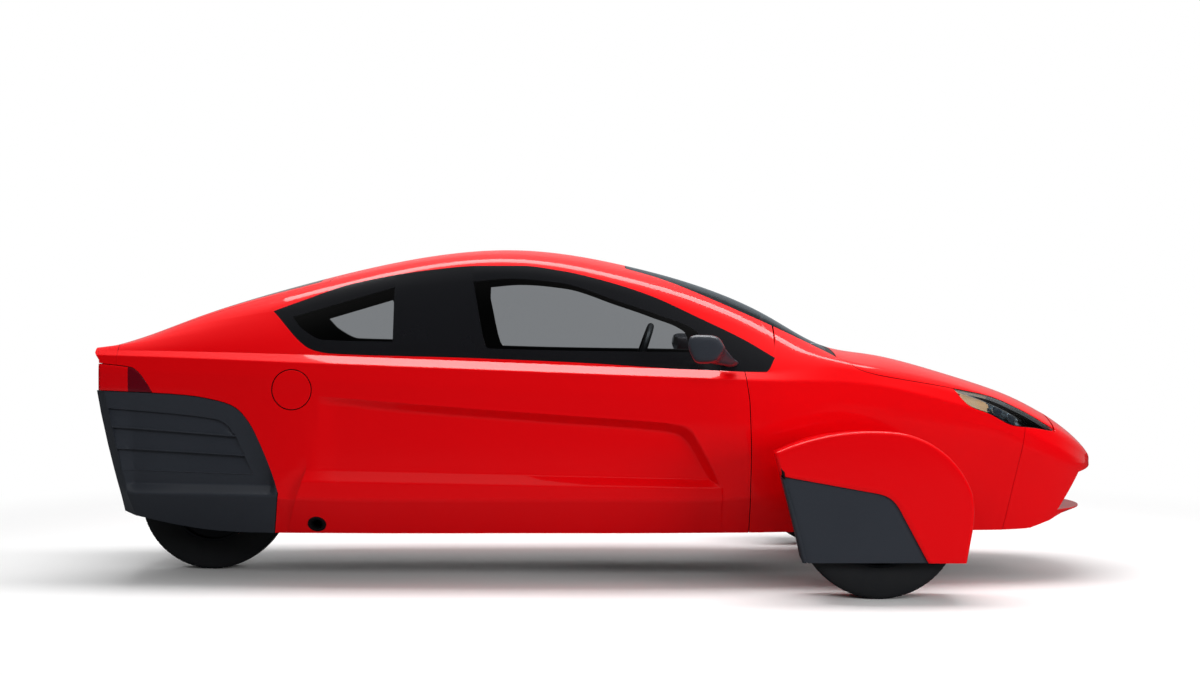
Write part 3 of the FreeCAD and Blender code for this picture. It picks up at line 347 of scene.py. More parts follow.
# Height as a function of x along an outline: a monotone cubic through its corners, whose slope at a
# corner is the harmonic mean of its two sides' slopes.
def line(points):
    xs, zs = np.array(sorted(points), float).T
    h, rise = np.diff(xs), np.diff(zs) / np.diff(xs)
    slope = np.zeros_like(xs)
    same = rise[:-1] * rise[1:] > 0
    mean = 2 * rise[:-1] * rise[1:] / np.where(same, rise[:-1] + rise[1:], 1)
    slope[1:-1] = np.where(same, mean, 0)
    slope[0], slope[-1] = rise[0], rise[-1]

    def at(x):
        x = np.clip(x, xs[0], xs[-1])
        i = np.clip(np.searchsorted(xs, x) - 1, 0, len(xs) - 2)
        t = (x - xs[i]) / h[i]
        return (zs[i] * (2 * t ** 3 - 3 * t ** 2 + 1) + zs[i + 1] * (3 * t ** 2 - 2 * t ** 3)
                + h[i] * (slope[i] * (t ** 3 - 2 * t ** 2 + t) + slope[i + 1] * (t ** 3 - t ** 2)))
    return at


# Height as a function of x along straight runs.
def straight(points):
    xs, zs = np.array(sorted(points), float).T
    return lambda x: np.interp(x, xs, zs)


# The quadratic curve from a to b that a corner pulls out: (1-t)^2 a + 2t(1-t) corner + t^2 b.
def bent(a, corner, b, t):
    return a * (1 - t) ** 2 + corner * 2 * t * (1 - t) + b * t ** 2


# The section above the belt: q 0 at f, 1 at the rail g, 2 at the crown. Chord f-g bulges out as 4
# rise q (1-q), the roof is the parabola zh - (zh - zg)(y/wg)^2, and the rail is rounded by a
# quadratic curve.
def upperPoint(x, q):
    corner = cornerAt(x)
    f, g, h = corner["f"], corner["g"], corner["h"]
    chord = g - f
    length = np.linalg.norm(chord, axis=-1)
    normal = np.stack([chord[..., 1], -chord[..., 0]], -1) / length[..., None]
    wide, high, top = g[..., 0], g[..., 1], h[..., 1]

    def side(s):
        bulge = 4 * bodyShape["glassBulge"] * s * (1 - s)
        return f + chord * s[..., None] + normal * bulge[..., None]

    def roof(s):
        return np.stack([wide * (1 - s), top - (top - high) * (1 - s) ** 2], -1)

    start = 1 - np.minimum(bodyShape["railRound"] / length, bodyShape["bendLimit"])
    end = np.minimum(bodyShape["railRound"] / wide, bodyShape["bendLimit"])
    t = np.clip((q - start) / (1 + end - start), 0, 1)[..., None]
    bend = bent(side(start), g, roof(end), t)
    q2 = q[..., None]
    above = np.where(q2 >= 1 + end[..., None], roof(q - 1), bend)
    return np.where(q2 <= start[..., None], side(q), above)


# The q at which the upper section reaches a height (axis 1) or a half width (axis 0).
def upperShare(x, value, axis):
    low, high = np.zeros_like(x), np.full_like(x, 2.0)
    for _ in range(26):
        middle = (low + high) / 2
        found = upperPoint(x, middle)[..., axis]
        under = found < value if axis else found > value
        low, high = np.where(under, middle, low), np.where(under, high, middle)
    return (low + high) / 2


belt = lambda x: np.zeros_like(x)
crown = lambda x: np.full_like(x, 2.0)


# The place a distance back from a corner towards its neighbour, short of the middle.
def cutBack(corner, neighbour, distance):
    way = neighbour - corner
    length = np.maximum(np.linalg.norm(way, axis=-1, keepdims=True), 1e-6)
    return corner + way * np.minimum(distance / length, bodyShape["bendLimit"])


# Rows from rail to rail. An inner rail C is rounded from A to B, cuts mm back along each side, as
# (1-t)^2 A + 2t(1-t) C + t^2 B, and fills rows share the flat between two rails.
def roundedRows(rails, cuts, fills):
    rows = []
    tail = rails[0]
    for k in range(1, len(rails)):
        corner = rails[k]
        bend = [corner]
        if k < len(rails) - 1 and cuts[k]:
            a, b = (cutBack(corner, other, cuts[k]) for other in (rails[k - 1], rails[k + 1]))
            bend = [bent(a, corner, b, t) for t in (0, 0.25, 0.5, 0.75, 1)]
        rows += [tail + (bend[0] - tail) * s for s in np.linspace(0, 1, fills[k - 1] + 2)[:-1]]
        rows += bend[:-1]
        tail = bend[-1]
    rows.append(tail)
    return np.stack(rows)


# Outlines on the side of the body, as heights along x.
window = {"rear": -1369, "corner": 651, "front": 688, "frontHigh": 923, "quarter": (-1285, -868),
          "door": (-545, 400)}
beltLine = straight([(-2200, 973), (-1995, 966), (575, 867), (651, 866)])
coverEdge = line([(-2200, 792), (-2063, 787), (-1852, 779), (-1700, 769), (-1588, 750),
                  (-1535, 735), (-1497, 714), (-1446, 655), (-1403, 572), (-1367, 488),
                  (-1340, 415), (-1328, 372)])
coverFoot = {"x": -1328, "z": 372, "lean": 0.18}
lampTopLine = line([(-2200, 909), (-1980, 889), (-1943, 883), (-1913, 862), (-1858, 787)])
windowTop = line([(-1369, 1114), (-1247, 1159), (-1043, 1228), (-717, 1285), (-514, 1301),
                  (-351, 1301), (-188, 1281), (-25, 1244), (179, 1179), (382, 1086), (566, 996),
                  (688, 923)])
windowFoot = line([(-1369, 1114), (-1197, 956), (-1116, 940), (-582, 924), (-187, 908), (651, 866),
                   (688, 923)])
screenEdge = line([(82, 1296), (227, 1252), (396, 1183), (564, 1110), (732, 1034), (915, 944),
                   (945, 926)])
hoodEdge = line([(945, 926), (981, 908), (1030, 876), (1110, 852), (1195, 836), (1320, 815),
                 (1429, 795), (1587, 762), (1720, 705), (1875, 618)])
lampFoot = line([(1429, 795), (1491, 725), (1574, 692), (1678, 642), (1782, 629), (1860, 614),
                 (1875, 618)])
hollowTop = line([(-1213, 800), (237, 800), (238, 664), (300, 652), (340, 632), (362, 600),
                  (466, 404)])
hollowTopDeep = line([(-1213, 742), (-1060, 735), (-911, 716), (-186, 660), (225, 628), (296, 612),
                      (330, 582), (418, 436), (466, 402.5)])
ledgeDeep = straight([(-1213, 471), (418, 431), (466, 400.5)])
ledgeEdge = straight([(-1305, 432), (-1240, 427), (470, 398)])
# The hollow in the side: its ends along X, half widths of its floor, and where it closes ahead.
hollow = {"rear": -1213, "front": 466, "floor": ([-1213, -1100, 418, 466], [504, 488, 476, 520]),
          "closeLow": 400.5, "closeHigh": 402.5, "closeTop": 404, "fade": 60}
sill = {"outer": ([-1305, -700, 300], [513, 515, 515]), "front": 470}
# Rows up the lower side: mm rounded off at each rail, and rows filled in between two rails.
sideRows = {"cuts": [0, 12, 6, 5, 10, 12, 22, 0, 4, 0], "fills": [5, 2, 1, 7, 1, 2, 3, 3, 1],
            "plainCuts": [0, 30, 0, 40, 0, 8, 0], "plainFills": [5, 3, 6, 4, 3, 2],
            "plainLevel": 476, "widening": 0.09, "wideningFrom": 380}


# The rails above the shoulder: a bulged middle, and both edges of the belt.
def beltRails(corner):
    middle = (corner["d"] + corner["e"]) / 2 + np.array([bodyShape["flankBulge"], 0])
    return [middle, corner["e"], corner["f"]]


# Rails of the lower side from the bottom corner to the belt, each as (half width, height).
def flankRails(x, sillOn=True):
    corner = cornerAt(x)
    b, c, d = corner["b"], corner["c"], corner["d"]

    def skinAt(z):
        share = (z - c[..., 1]) / (d[..., 1] - c[..., 1])
        return c[..., 0] + (d[..., 0] - c[..., 0]) * share

    inner = np.interp(x, *hollow["floor"])
    inHollow = (x > hollow["rear"]) & (x < hollow["front"])
    sillWide = np.interp(x, *sill["outer"]) * np.where(sillOn & (x < sill["front"]), 1.0, 0.0)
    ledgeZ, ahead = ledgeEdge(x), x > hollow["front"]
    past = np.clip((x - hollow["front"]) / hollow["fade"], 0, 1)
    deepZ = np.where(ahead, hollow["closeLow"], ledgeDeep(x))
    topDeepZ = np.where(ahead, hollow["closeHigh"], hollowTopDeep(x))
    topZ = np.where(ahead, hollow["closeTop"] + hollow["fade"] * past,
                    np.minimum(hollowTop(x), d[..., 1] - 2))
    rails = [b, np.stack([np.maximum(c[..., 0], sillWide), c[..., 1]], -1),
             np.stack([np.maximum(skinAt(ledgeZ), sillWide), ledgeZ], -1)]
    for z in (deepZ, topDeepZ):
        wide = np.where(inHollow, np.minimum(inner, skinAt(z) - 1), skinAt(z))
        rails.append(np.stack([wide, z], -1))
    rails += [np.stack([skinAt(topZ), topZ], -1), d]
    return rails + beltRails(corner)


# Rows kept between two heights in each column; what lies beyond moves to the nearer one.
def cutRows(rows, low=None, high=None):
    z = rows[..., 1].copy()
    cut = z if low is None else np.maximum(z, low)
    cut = cut if high is None else np.minimum(cut, high)
    for j in range(rows.shape[1]):
        rows[:, j, 0] = np.interp(cut[:, j], z[:, j], rows[:, j, 0])
    rows[..., 1] = cut
    return rows


# Rows of the lower side, cut off below low(x) and above high(x), and no wider than widest low
# down, with a little more for each mm up. The plain ones have no hollow and no sill.
def lowerRows(x, low=None, high=None, plain=False, sillOn=True, widest=None):
    if plain:
        corner = cornerAt(x)
        b, c, d = corner["b"], corner["c"], corner["d"]
        share = (sideRows["plainLevel"] - c[..., 1]) / (d[..., 1] - c[..., 1])
        level = c + (d - c) * share[..., None]
        rows = roundedRows([b, c, level, d] + beltRails(corner), sideRows["plainCuts"],
                           sideRows["plainFills"])
    else:
        rows = roundedRows(flankRails(x, sillOn), sideRows["cuts"], sideRows["fills"])
    if widest:
        more = sideRows["widening"] * np.maximum(rows[..., 1] - sideRows["wideningFrom"], 0)
        rows[..., 0] = np.minimum(rows[..., 0], widest + more)
    return cutRows(rows, low and low(x), high and high(x))


# Rows above the belt from share low(x) to share high(x).
def upperRows(x, low, high, count):
    shares = np.linspace(0, 1, count)[:, None]
    q = low + (high - low) * shares
    return upperPoint(np.broadcast_to(x, q.shape), q)


# Points (x, -half width, height) on rows and columns. shift(x, z) leans the columns, and three
# rounds settle both.
def skinGrid(columns, rowsAt, shift=None):
    x = np.asarray(columns, float)
    rows = rowsAt(x)
    places = np.broadcast_to(x, rows.shape[:2]).copy()
    if shift:
        for _ in range(3):
            places = x + shift(x, rows[..., 1])
            rows = np.stack([rowsAt(places[r])[r] for r in range(len(rows))])
    return np.dstack([places, -rows[..., 0], rows[..., 1]])


# Places from start to end about step apart, with the extra ones among them.
def spaced(start, end, step, *extra):
    count = max(2, int(round((end - start) / step)) + 1)
    return np.unique(np.round(np.concatenate([np.linspace(start, end, count),
                                              *[np.atleast_1d(e) for e in extra]]), 3))


# Four-sided faces of a grid, as rows of vertex numbers.
def gridFaces(rows, columns, first=0, flip=False):
    corner = (np.arange(rows - 1)[:, None] * columns + np.arange(columns - 1)).ravel() + first
    faces = np.stack([corner, corner + 1, corner + columns + 1, corner + columns], -1)
    return faces[:, ::-1] if flip else faces


# A mesh from points in mm, merged where they meet.
def meshObject(name, vertices, faces, materialNames, smooth=True, merge=0.02, faceMaterial=None):
    mesh = bpy.data.meshes.new(name)
    mesh.from_pydata((np.asarray(vertices) * mm).tolist(), [],
                     [list(map(int, face)) for face in faces])
    for materialName in materialNames:
        mesh.materials.append(materials[materialName])
    if faceMaterial is not None:
        mesh.polygons.foreach_set("material_index", np.asarray(faceMaterial, np.int32))
    build = bmesh.new()
    build.from_mesh(mesh)
    bmesh.ops.remove_doubles(build, verts=build.verts, dist=merge * mm)
    bmesh.ops.dissolve_degenerate(build, edges=build.edges, dist=merge * mm)
    for face in build.faces:
        face.smooth = smooth
    build.to_mesh(mesh)
    build.free()
    piece = bpy.data.objects.new(name, mesh)
    scene.collection.objects.link(piece)
    return piece


# Several grids as one list of points and faces.
def joined(grids, flip=False):
    points, faces, first = [], [], 0
    for grid in grids:
        rows, columns = grid.shape[:2]
        points.append(grid.reshape(-1, 3))
        faces.append(gridFaces(rows, columns, first, flip))
        first += rows * columns
    return np.concatenate(points), np.concatenate(faces)


# The same grids on the left of the car.
def otherSide(grids):
    return [grid * np.array([1, -1, 1]) for grid in grids]


# One mesh of several grids with their own materials, and their mirror image on the left.
def bothSides(name, parts, materialNames):
    points, faces, zones, first = [], [], [], 0
    for grids, zone in parts:
        for flip in (False, True):
            some, corners = joined(otherSide(grids) if flip else grids, flip=flip)
            points.append(some)
            faces.append(corners + first)
            zones.append(np.resize(zone, len(corners)))
            first += len(some)
    return meshObject(name, np.concatenate(points), np.concatenate(faces), materialNames,
                      faceMaterial=np.concatenate(zones))


# A wall inwards, its edges rounded, and normals weighted by face area.
def thicken(piece, thickness, edge=None, inside=None):
    wall = piece.modifiers.new("wall", "SOLIDIFY")
    wall.thickness = thickness * mm
    wall.offset = -1
    if inside is not None:
        piece.data.materials.append(materials[inside])
        wall.material_offset = 1
        wall.material_offset_rim = 1
    if edge:
        soft = piece.modifiers.new("edge", "BEVEL")
        soft.width = edge * mm
        soft.segments = 2
        soft.limit_method = "ANGLE"
        soft.angle_limit = math.radians(bodyShape["edgeAngle"])
        soft.miter_outer = "MITER_ARC"
    weight = piece.modifiers.new("weight", "WEIGHTED_NORMAL")
    weight.keep_sharp = True
    weight.weight = bodyShape["shading"]


# Rides on its body and stands for CAD nodes, which it hides. The slot is not used.
def place(piece, body, slot, *replaced):
    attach(piece, body)
    if replaced:
        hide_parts(*replaced)
    return piece


# A panel of the body's skin from grids on its right side, or mirrored to its left.
def bodyPanel(name, grids, slot, replaced, body="body", left=False, thickness=None,
              inside="mouldedBlackPlastic", edge=bodyShape["edge"]):
    points, faces = joined(otherSide(grids) if left else grids, flip=left)
    piece = meshObject(name, points, faces, [slotFinish[slot]])
    thicken(piece, thickness or bodyShape["skin"], edge, inside)
    return place(piece, body, slot, *replaced)


print("side panels")
side = {"rear": -2010, "tailGap": 0.3, "lampFront": -1858, "sillEnd": -1213, "seam": 583,
        "step": 11, "insetBehindSill": 488, "underside": 95, "sillHigh": 471, "sillLean": 0.3459,
        "sillFade": -900, "frontLeanFrom": 440, "coverColumns": [-1352, -1340, -1334],
        "coverStep": 14, "footStep": 12, "coverFade": 20, "leastHalf": 5}
fenderSeamX = lambda z: np.interp(z, [150, 393, 554, 755, 867], [583, 583, 587, 579, 562])
noseSeamX = lambda z: np.interp(z, [150, 635], [1638, 1731])


# How far back the rear cover's front edge runs below its foremost place.
def footLean(z):
    return -coverFoot["lean"] * np.maximum(coverFoot["z"] - z, 0)


# Leans the columns to the cover's edge, to the slanting rear end of the sill, and to the fender's
# seam.
def sideShift(x, z):
    sillShift = -np.maximum(side["sillHigh"] - z, 0) * side["sillLean"]
    sillFade = np.interp(x, [coverFoot["x"], side["sillEnd"], side["sillFade"]], [0, 1, 0])
    ends = [coverFoot["x"] - side["coverFade"], coverFoot["x"], side["sillEnd"]]
    coverFade = np.interp(x, ends, [0, 1, 0])
    frontFade = np.clip((x - side["frontLeanFrom"]) / (side["seam"] - side["frontLeanFrom"]), 0, 1)
    frontShift = fenderSeamX(z) - side["seam"]
    return sillShift * sillFade + footLean(z) * coverFade + frontShift * frontFade


# One more row under the body, level with the first and further in.
def undersideRow(grid, inward):
    first = grid[:1].copy()
    wide = np.maximum(np.abs(first[..., 1]) - inward, side["leastHalf"])
    first[..., 1] = np.sign(first[..., 1]) * wide
    return np.concatenate([first, grid])


rearColumns = spaced(side["rear"] + side["tailGap"], coverFoot["x"], side["coverStep"],
                     side["coverColumns"])
footColumns = spaced(coverFoot["x"], side["sillEnd"], side["footStep"])
hollowColumns = np.concatenate([[418, 462, hollow["front"], sill["front"]], spaced(300, 462, 6)])
mainColumns = spaced(side["sillEnd"], side["seam"] - seam, side["step"], hollowColumns)
coverLow = lambda x: np.where(x < side["lampFront"], lampTopLine(x), coverEdge(x)) + seam
rearGrid = skinGrid(rearColumns, lambda x: lowerRows(x, low=coverLow, sillOn=False,
                                                     widest=side["insetBehindSill"]))
footGrid = skinGrid(footColumns,
                    lambda x: lowerRows(x, sillOn=False, widest=side["insetBehindSill"]), sideShift)
mainGrid = skinGrid(mainColumns, lowerRows, sideShift)
sideGrid = np.concatenate([rearGrid, footGrid, mainGrid], 1)


# The grid in two, behind and ahead of the place where the cover's edge starts.
def parted(grid):
    return [grid[:, :len(rearColumns)], grid[:, len(rearColumns):]]


# The grid's columns whose top ends lie between two places along X.
def columnsBetween(grid, low, high):
    keep = (grid[-1, :, 0] >= low - 0.01) & (grid[-1, :, 0] <= high + 0.01)
    return grid[:, keep]


# Half width of the lower side at places (x, z), by interpolation up each place's own section.
def skinWidth(x, z):
    x, z = np.atleast_1d(x).astype(float), np.atleast_1d(z).astype(float)
    rows = lowerRows(x.ravel())
    wide = [np.interp(height, rows[:, j, 1], rows[:, j, 0]) for j, height in enumerate(z.ravel())]
    return np.array(wide).reshape(x.shape)


fuel = {"x": -1274, "z": 795, "radius": 80, "gap": 3.5, "window": 106, "rings": 5, "lid": 8,
        "lidShares": (0.0, 0.25, 0.5, 0.75, 0.96, 1.0), "turns": 64, "lidTurns": 96,
        "cup": [(0, 52), (40, 52), (64, 48), (72, 38), (80, 16), (88, 15)],
        "cap": [(0, 26), (24, 26), (30, 28), (32, 34), (32, 56)]}


# Takes a window out of a grid and fills it up to a round hole: each ring is a share of the way from
# the circle to the window's own border, and every point is put back on the skin.
def roundHole(grid, centreX, centreZ, radius, reach, rings):
    inWindow = (np.abs(grid[..., 0] - centreX) < reach) & (np.abs(grid[..., 2] - centreZ) < reach)
    counts = inWindow.sum(1)
    # Leaning columns leave the first and last rows short.
    rows = np.nonzero(counts > counts.max() * 0.7)[0]
    columns = np.nonzero(inWindow[rows[len(rows) // 2]])[0]
    r0, r1, c0, c1 = rows[0], rows[-1], columns[0], columns[-1]
    border = np.concatenate([grid[r0, c0:c1], grid[r0:r1, c1], grid[r1, c1:c0:-1],
                             grid[r1:r0:-1, c0]])
    border = np.concatenate([border, border[:1]])
    angle = np.arctan2(border[:, 2] - centreZ, border[:, 0] - centreX)
    circle = np.stack([centreX + radius * np.cos(angle), centreZ + radius * np.sin(angle)], -1)
    share = np.linspace(0, 1, rings)[:, None, None]
    flat = circle + (border[:, [0, 2]] - circle) * share
    wide = skinWidth(flat[..., 0], flat[..., 1])
    ring = np.dstack([flat[..., 0], -wide, flat[..., 1]])
    ring[-1] = border
    around = [grid[:r0 + 1], grid[r1:], grid[r0:r1 + 1, :c0 + 1], grid[r0:r1 + 1, c1:]]
    return around, ring


around, fuelRing = roundHole(sideGrid, fuel["x"], fuel["z"], fuel["radius"] + fuel["gap"],
                             fuel["window"], fuel["rings"])
under = undersideRow(sideGrid, side["underside"])[:2]
exhaust = {"x": -1178, "z": 246, "hole": 26, "window": 46, "rings": 4, "turns": 64, "squeeze": 0.86,
           "flange": [(27, -14), (23, -3), (24, 1.5), (27, 3.6), (34, 3.8), (37, 2.4), (38, 0.2)],
           "pipe": [(0, -70), (17, -70), (19, -60), (19.5, -6), (20.5, -3), (22, -4.5),
                    (22.5, -20)]}
belowFuel, exhaustRing = roundHole(around[0], exhaust["x"], exhaust["z"], exhaust["hole"],
                                   exhaust["window"], exhaust["rings"])
lowerParts = [half for grid in belowFuel[:3] for half in parted(grid)] + [belowFuel[3]]
bodyPanel("flankRight", lowerParts + around[1:] + [fuelRing[:, ::-1], exhaustRing[:, ::-1]] +
          parted(under), "red_paint", ["side_panel_right"])


# A ring profile of (radius, height over the skin) turned about the exhaust's middle and laid on the
# sill's slanting face: x + r cos a, z + r squeeze sin a, out along the face by the height.
def exhaustTurned(profile):
    turn = np.linspace(0, 2 * math.pi, exhaust["turns"] + 1)
    rings = []
    for radius, height in profile:
        x = exhaust["x"] + radius * np.cos(turn)
        z = exhaust["z"] + radius * exhaust["squeeze"] * np.sin(turn)
        rings.append(np.stack([x, -skinWidth(x, z) - height, z], -1))
    return np.stack(rings)[:, ::-1]


exhaustPoints, exhaustFaces = joined([exhaustTurned(exhaust["flange"]),
                                      exhaustTurned(exhaust["pipe"])])
place(meshObject("exhaustOutlet", exhaustPoints, exhaustFaces, ["sprayedBlackSteel"]), "body",
      "black_steel", "exhaust_tip")

# The fuel door: a disc of rings on the skin.
turn = np.linspace(0, 2 * math.pi, fuel["lidTurns"] + 1)
lidReach = fuel["radius"] * np.array(fuel["lidShares"])[:, None]
lidX, lidZ = fuel["x"] + lidReach * np.cos(turn), fuel["z"] + lidReach * np.sin(turn)
lidGrid = np.dstack([lidX, -skinWidth(lidX, lidZ), lidZ])
bodyPanel("fuelLid", [lidGrid[:, ::-1]], "red_paint", ["fuel_door"], body="fuel_door",
          thickness=fuel["lid"])


# A profile of (radius, depth behind the skin) turned about the fuel door's middle: the pocket
# behind the door, and the filler cap in it.
def fuelTurned(profile):
    turn = np.linspace(0, 2 * math.pi, fuel["turns"] + 1)
    middle = skinWidth(fuel["x"], fuel["z"]).ravel()[0]
    rings = [np.stack([fuel["x"] + r * np.cos(turn), 0 * turn - middle + d,
                       fuel["z"] + r * np.sin(turn)], -1) for r, d in profile]
    return np.stack(rings)


cupPoints, cupFaces = joined([fuelTurned(fuel["cup"])[:, ::-1], fuelTurned(fuel["cap"])[:, ::-1]])
place(meshObject("fuelCup", cupPoints, cupFaces, ["mouldedBlackPlastic"]), "body", "black_plastic")

# The left side: the rear of the panel, the sill under the door, and the door itself.
door = {"rear": -565, "front": 575, "gap": 2.5, "leanShare": 0.9}
doorFoot = straight([(-565, 462), (575, 440)])
leftRear = columnsBetween(sideGrid, -math.inf, door["rear"] - door["gap"])
sillColumns = spaced(door["rear"] - door["gap"], side["seam"] - seam, side["step"], hollowColumns)
sillGrid = skinGrid(sillColumns, lambda x: lowerRows(x, high=lambda v: doorFoot(v) - door["gap"]),
                    sideShift)
leftUnder = undersideRow(np.concatenate([leftRear, sillGrid], 1), side["underside"])[:2]
bodyPanel("flankLeft", parted(leftRear) + [sillGrid] + parted(leftUnder), "red_paint",
          ["side_panel_left"], left=True)
doorColumns = spaced(door["rear"] + door["gap"], door["front"] - door["gap"], side["step"],
                     hollowColumns)
doorGrid = skinGrid(doorColumns, lambda x: lowerRows(x, low=lambda v: doorFoot(v) + door["gap"]),
                    lambda x, z: door["leanShare"] * sideShift(x, z) * (x > side["frontLeanFrom"]))

print("roof and windows")
roof = {"rear": -2010, "front": 688, "hatchFront": -1150, "hatchRear": -2030, "hatchHalf": 312,
        "screenTop": 82, "screenHalf": 220, "gap": 2.5, "step": 14,
        "beltColumns": [-1345, -1300, -1250, -1197], "bandEnd": 400, "leanFrom": 480,
        "lean": 48 / 152, "leanHigh": 160, "beltRows": 9, "doorRows": 5, "sideRows": 16,
        "nextRows": 7, "crownRows": 9, "aheadStep": 12}


# The share of the upper section at an outline's height.
def byHeight(edge):
    return lambda x: upperShare(x, edge(x), 1)


# The share of the upper section at one half width.
def atHalf(wide):
    return lambda x: upperShare(x, np.full_like(x, wide), 0)


tip = np.array([float(window["rear"])])
tipShare = float(upperShare(tip, windowFoot(tip), 1)[0])
belowWindow = lambda x: np.where(x < window["rear"], tipShare, byHeight(windowFoot)(x))
aboveWindow = lambda x: np.where(x < window["rear"], tipShare, byHeight(windowTop)(x))
hatchSide, screenTopHalf = atHalf(roof["hatchHalf"] + roof["gap"]), atHalf(roof["screenHalf"])
screenShare = byHeight(screenEdge)
atScreen = np.array([float(roof["screenTop"])])
startRatio = float(((hatchSide(atScreen) - aboveWindow(atScreen)) / (
    screenTopHalf(atScreen) - aboveWindow(atScreen)))[0])


# The line between the roof's side band and its next: the hatch's side line as far as the
# windshield, then a share of the pillar that settles at a half.
def bandEdge(x):
    ratio = np.interp(x, [roof["screenTop"], roof["bandEnd"]], [startRatio, 0.5])
    pillar = aboveWindow(x) + (screenShare(x) - aboveWindow(x)) * ratio
    return np.where(x <= roof["screenTop"], hatchSide(x), pillar)


# Leans the front columns to the pillar's foot seam.
def roofShift(x, z):
    fade = np.clip((x - roof["leanFrom"]) / (roof["front"] - roof["leanFrom"]), 0, 1)
    return -np.clip(z - window["frontHigh"], 0, roof["leanHigh"]) * roof["lean"] * fade


# A share kept within the section.
def limited(low, high):
    return np.clip(np.minimum(low, high), 0, 2), np.clip(high, 0, 2)


# So many rows of the upper section between two shares, each a function of x.
def bandRows(low, high, count):
    return lambda x: upperRows(x, *limited(low(x), high(x)), count)


beltColumns = spaced(roof["rear"] + seam, window["corner"], roof["step"], [window["rear"]],
                     roof["beltColumns"])
beltGrid = skinGrid(beltColumns, bandRows(belt, belowWindow, roof["beltRows"]))
upperColumns = spaced(roof["rear"] + seam, roof["front"], roof["step"],
                      [window["rear"], roof["hatchFront"] + roof["gap"], roof["screenTop"]])
frontColumns = upperColumns[upperColumns >= roof["hatchFront"] + roof["gap"] - 0.01]
crownColumns = frontColumns[frontColumns <= roof["screenTop"] + 0.01]
sideBand = skinGrid(upperColumns, bandRows(aboveWindow, bandEdge, roof["sideRows"]), roofShift)
screenSide = lambda x: np.where(x <= roof["screenTop"], screenTopHalf(x), screenShare(x))
nextBand = skinGrid(frontColumns, bandRows(bandEdge, screenSide, roof["nextRows"]), roofShift)
crownBand = skinGrid(crownColumns, bandRows(screenTopHalf, crown, roof["crownRows"]), roofShift)
# Outlines of the rear quarter pane and of the front pane.
quarterTop = line([(-1285, 1090), (-868, 1212)])
quarterFoot = line([(-1285, 1090), (-1240, 1040), (-1150, 996), (-868, 989)])
frontTop = line([(-545, 1235), (-390, 1247), (-190, 1230), (57, 1152), (216, 1097), (370, 1030),
                 (400, 945)])
frontFoot = line([(-545, 1235), (-480, 962), (400, 945)])
pane = {"frameStep": 12, "frameBends": [-480, 370], "footRows": 5, "headRows": 6, "step": 14,
        "rows": 9}


# One edge of the two panes, and between them a line halfway up the frame.
def paneLine(quarter, front):
    def at(x):
        middle = (windowTop(x) + windowFoot(x)) / 2
        rear = (x >= window["quarter"][0]) & (x <= window["quarter"][1])
        ahead = (x >= window["door"][0]) & (x <= window["door"][1])
        return np.where(rear, quarter(x), np.where(ahead, front(x), middle))
    return at


paneTop, paneFoot = paneLine(quarterTop, frontTop), paneLine(quarterFoot, frontFoot)


# The window frame between two places along X: one band below the panes and one above.
def frameGrids(start, end):
    paneEnds = [*window["quarter"], *window["door"]]
    columns = spaced(start, end, pane["frameStep"], paneEnds, pane["frameBends"])
    columns = columns[(columns >= start) & (columns <= end)]
    jumps = [v for p in paneEnds for v in (p - 0.01, p + 0.01) if start < v < end]
    columns = np.unique(np.concatenate([columns, jumps])) if jumps else columns
    return [skinGrid(columns, bandRows(byHeight(windowFoot), byHeight(paneFoot), pane["footRows"])),
            skinGrid(columns, bandRows(byHeight(paneTop), byHeight(windowTop), pane["headRows"]))]


# One mesh from grids on the right and their mirror image on the left.
def halves(name, grids, materialName, leftGrids=None):
    points, faces = joined(grids)
    otherPoints, otherFaces = joined(otherSide(leftGrids or grids), flip=True)
    return meshObject(name, np.concatenate([points, otherPoints]),
                      np.concatenate([faces, otherFaces + len(points)]), [materialName])


# A panel of the body's skin on both sides of the car, sharp where it bends past the crease angle.
def wholePanel(name, grids, slot, replaced, body="body", thickness=None,
               inside="mouldedBlackPlastic", leftGrids=None, crease=None):
    piece = halves(name, grids, slotFinish[slot], leftGrids)
    if crease:
        piece.data.set_sharp_from_angle(angle=math.radians(crease))
    thicken(piece, thickness or bodyShape["skin"], bodyShape["edge"], inside)
    return place(piece, body, slot, *replaced)


beltStrip = skinGrid(doorColumns, bandRows(belt, belowWindow, roof["doorRows"]))
beltRear = columnsBetween(beltGrid, -math.inf, door["rear"] - door["gap"])
beltAhead = skinGrid(spaced(door["front"] + door["gap"], window["corner"], roof["aheadStep"]),
                     bandRows(belt, belowWindow, roof["beltRows"]))
wholePanel("roofShell", [beltGrid, sideBand, nextBand, crownBand], "red_paint", ["roof_shell"],
           leftGrids=[beltRear, beltAhead, sideBand, nextBand, crownBand])
bodyPanel("doorSkin", [doorGrid, beltStrip], "red_paint", ["door_panel"], body="door", left=True)
leftFrame = (frameGrids(window["rear"], door["rear"] - door["gap"]) +
             frameGrids(door["front"] + door["gap"], roof["front"]))
bodyPanel("windowFrameRight", frameGrids(window["rear"], roof["front"]), "gloss_black",
          ["window_frame_right"])
bodyPanel("windowFrameLeft", leftFrame, "gloss_black", ["window_frame_left"], left=True)
bodyPanel("doorFrame", frameGrids(door["rear"] + door["gap"], door["front"] - door["gap"]),
          "gloss_black", ["door_frame"], body="door", left=True)


# A pane on the body's own section between its foot and its top line.
def paneGrid(ends, foot, top):
    return skinGrid(spaced(*ends, pane["step"]), bandRows(byHeight(foot), byHeight(top),
                                                          pane["rows"]))


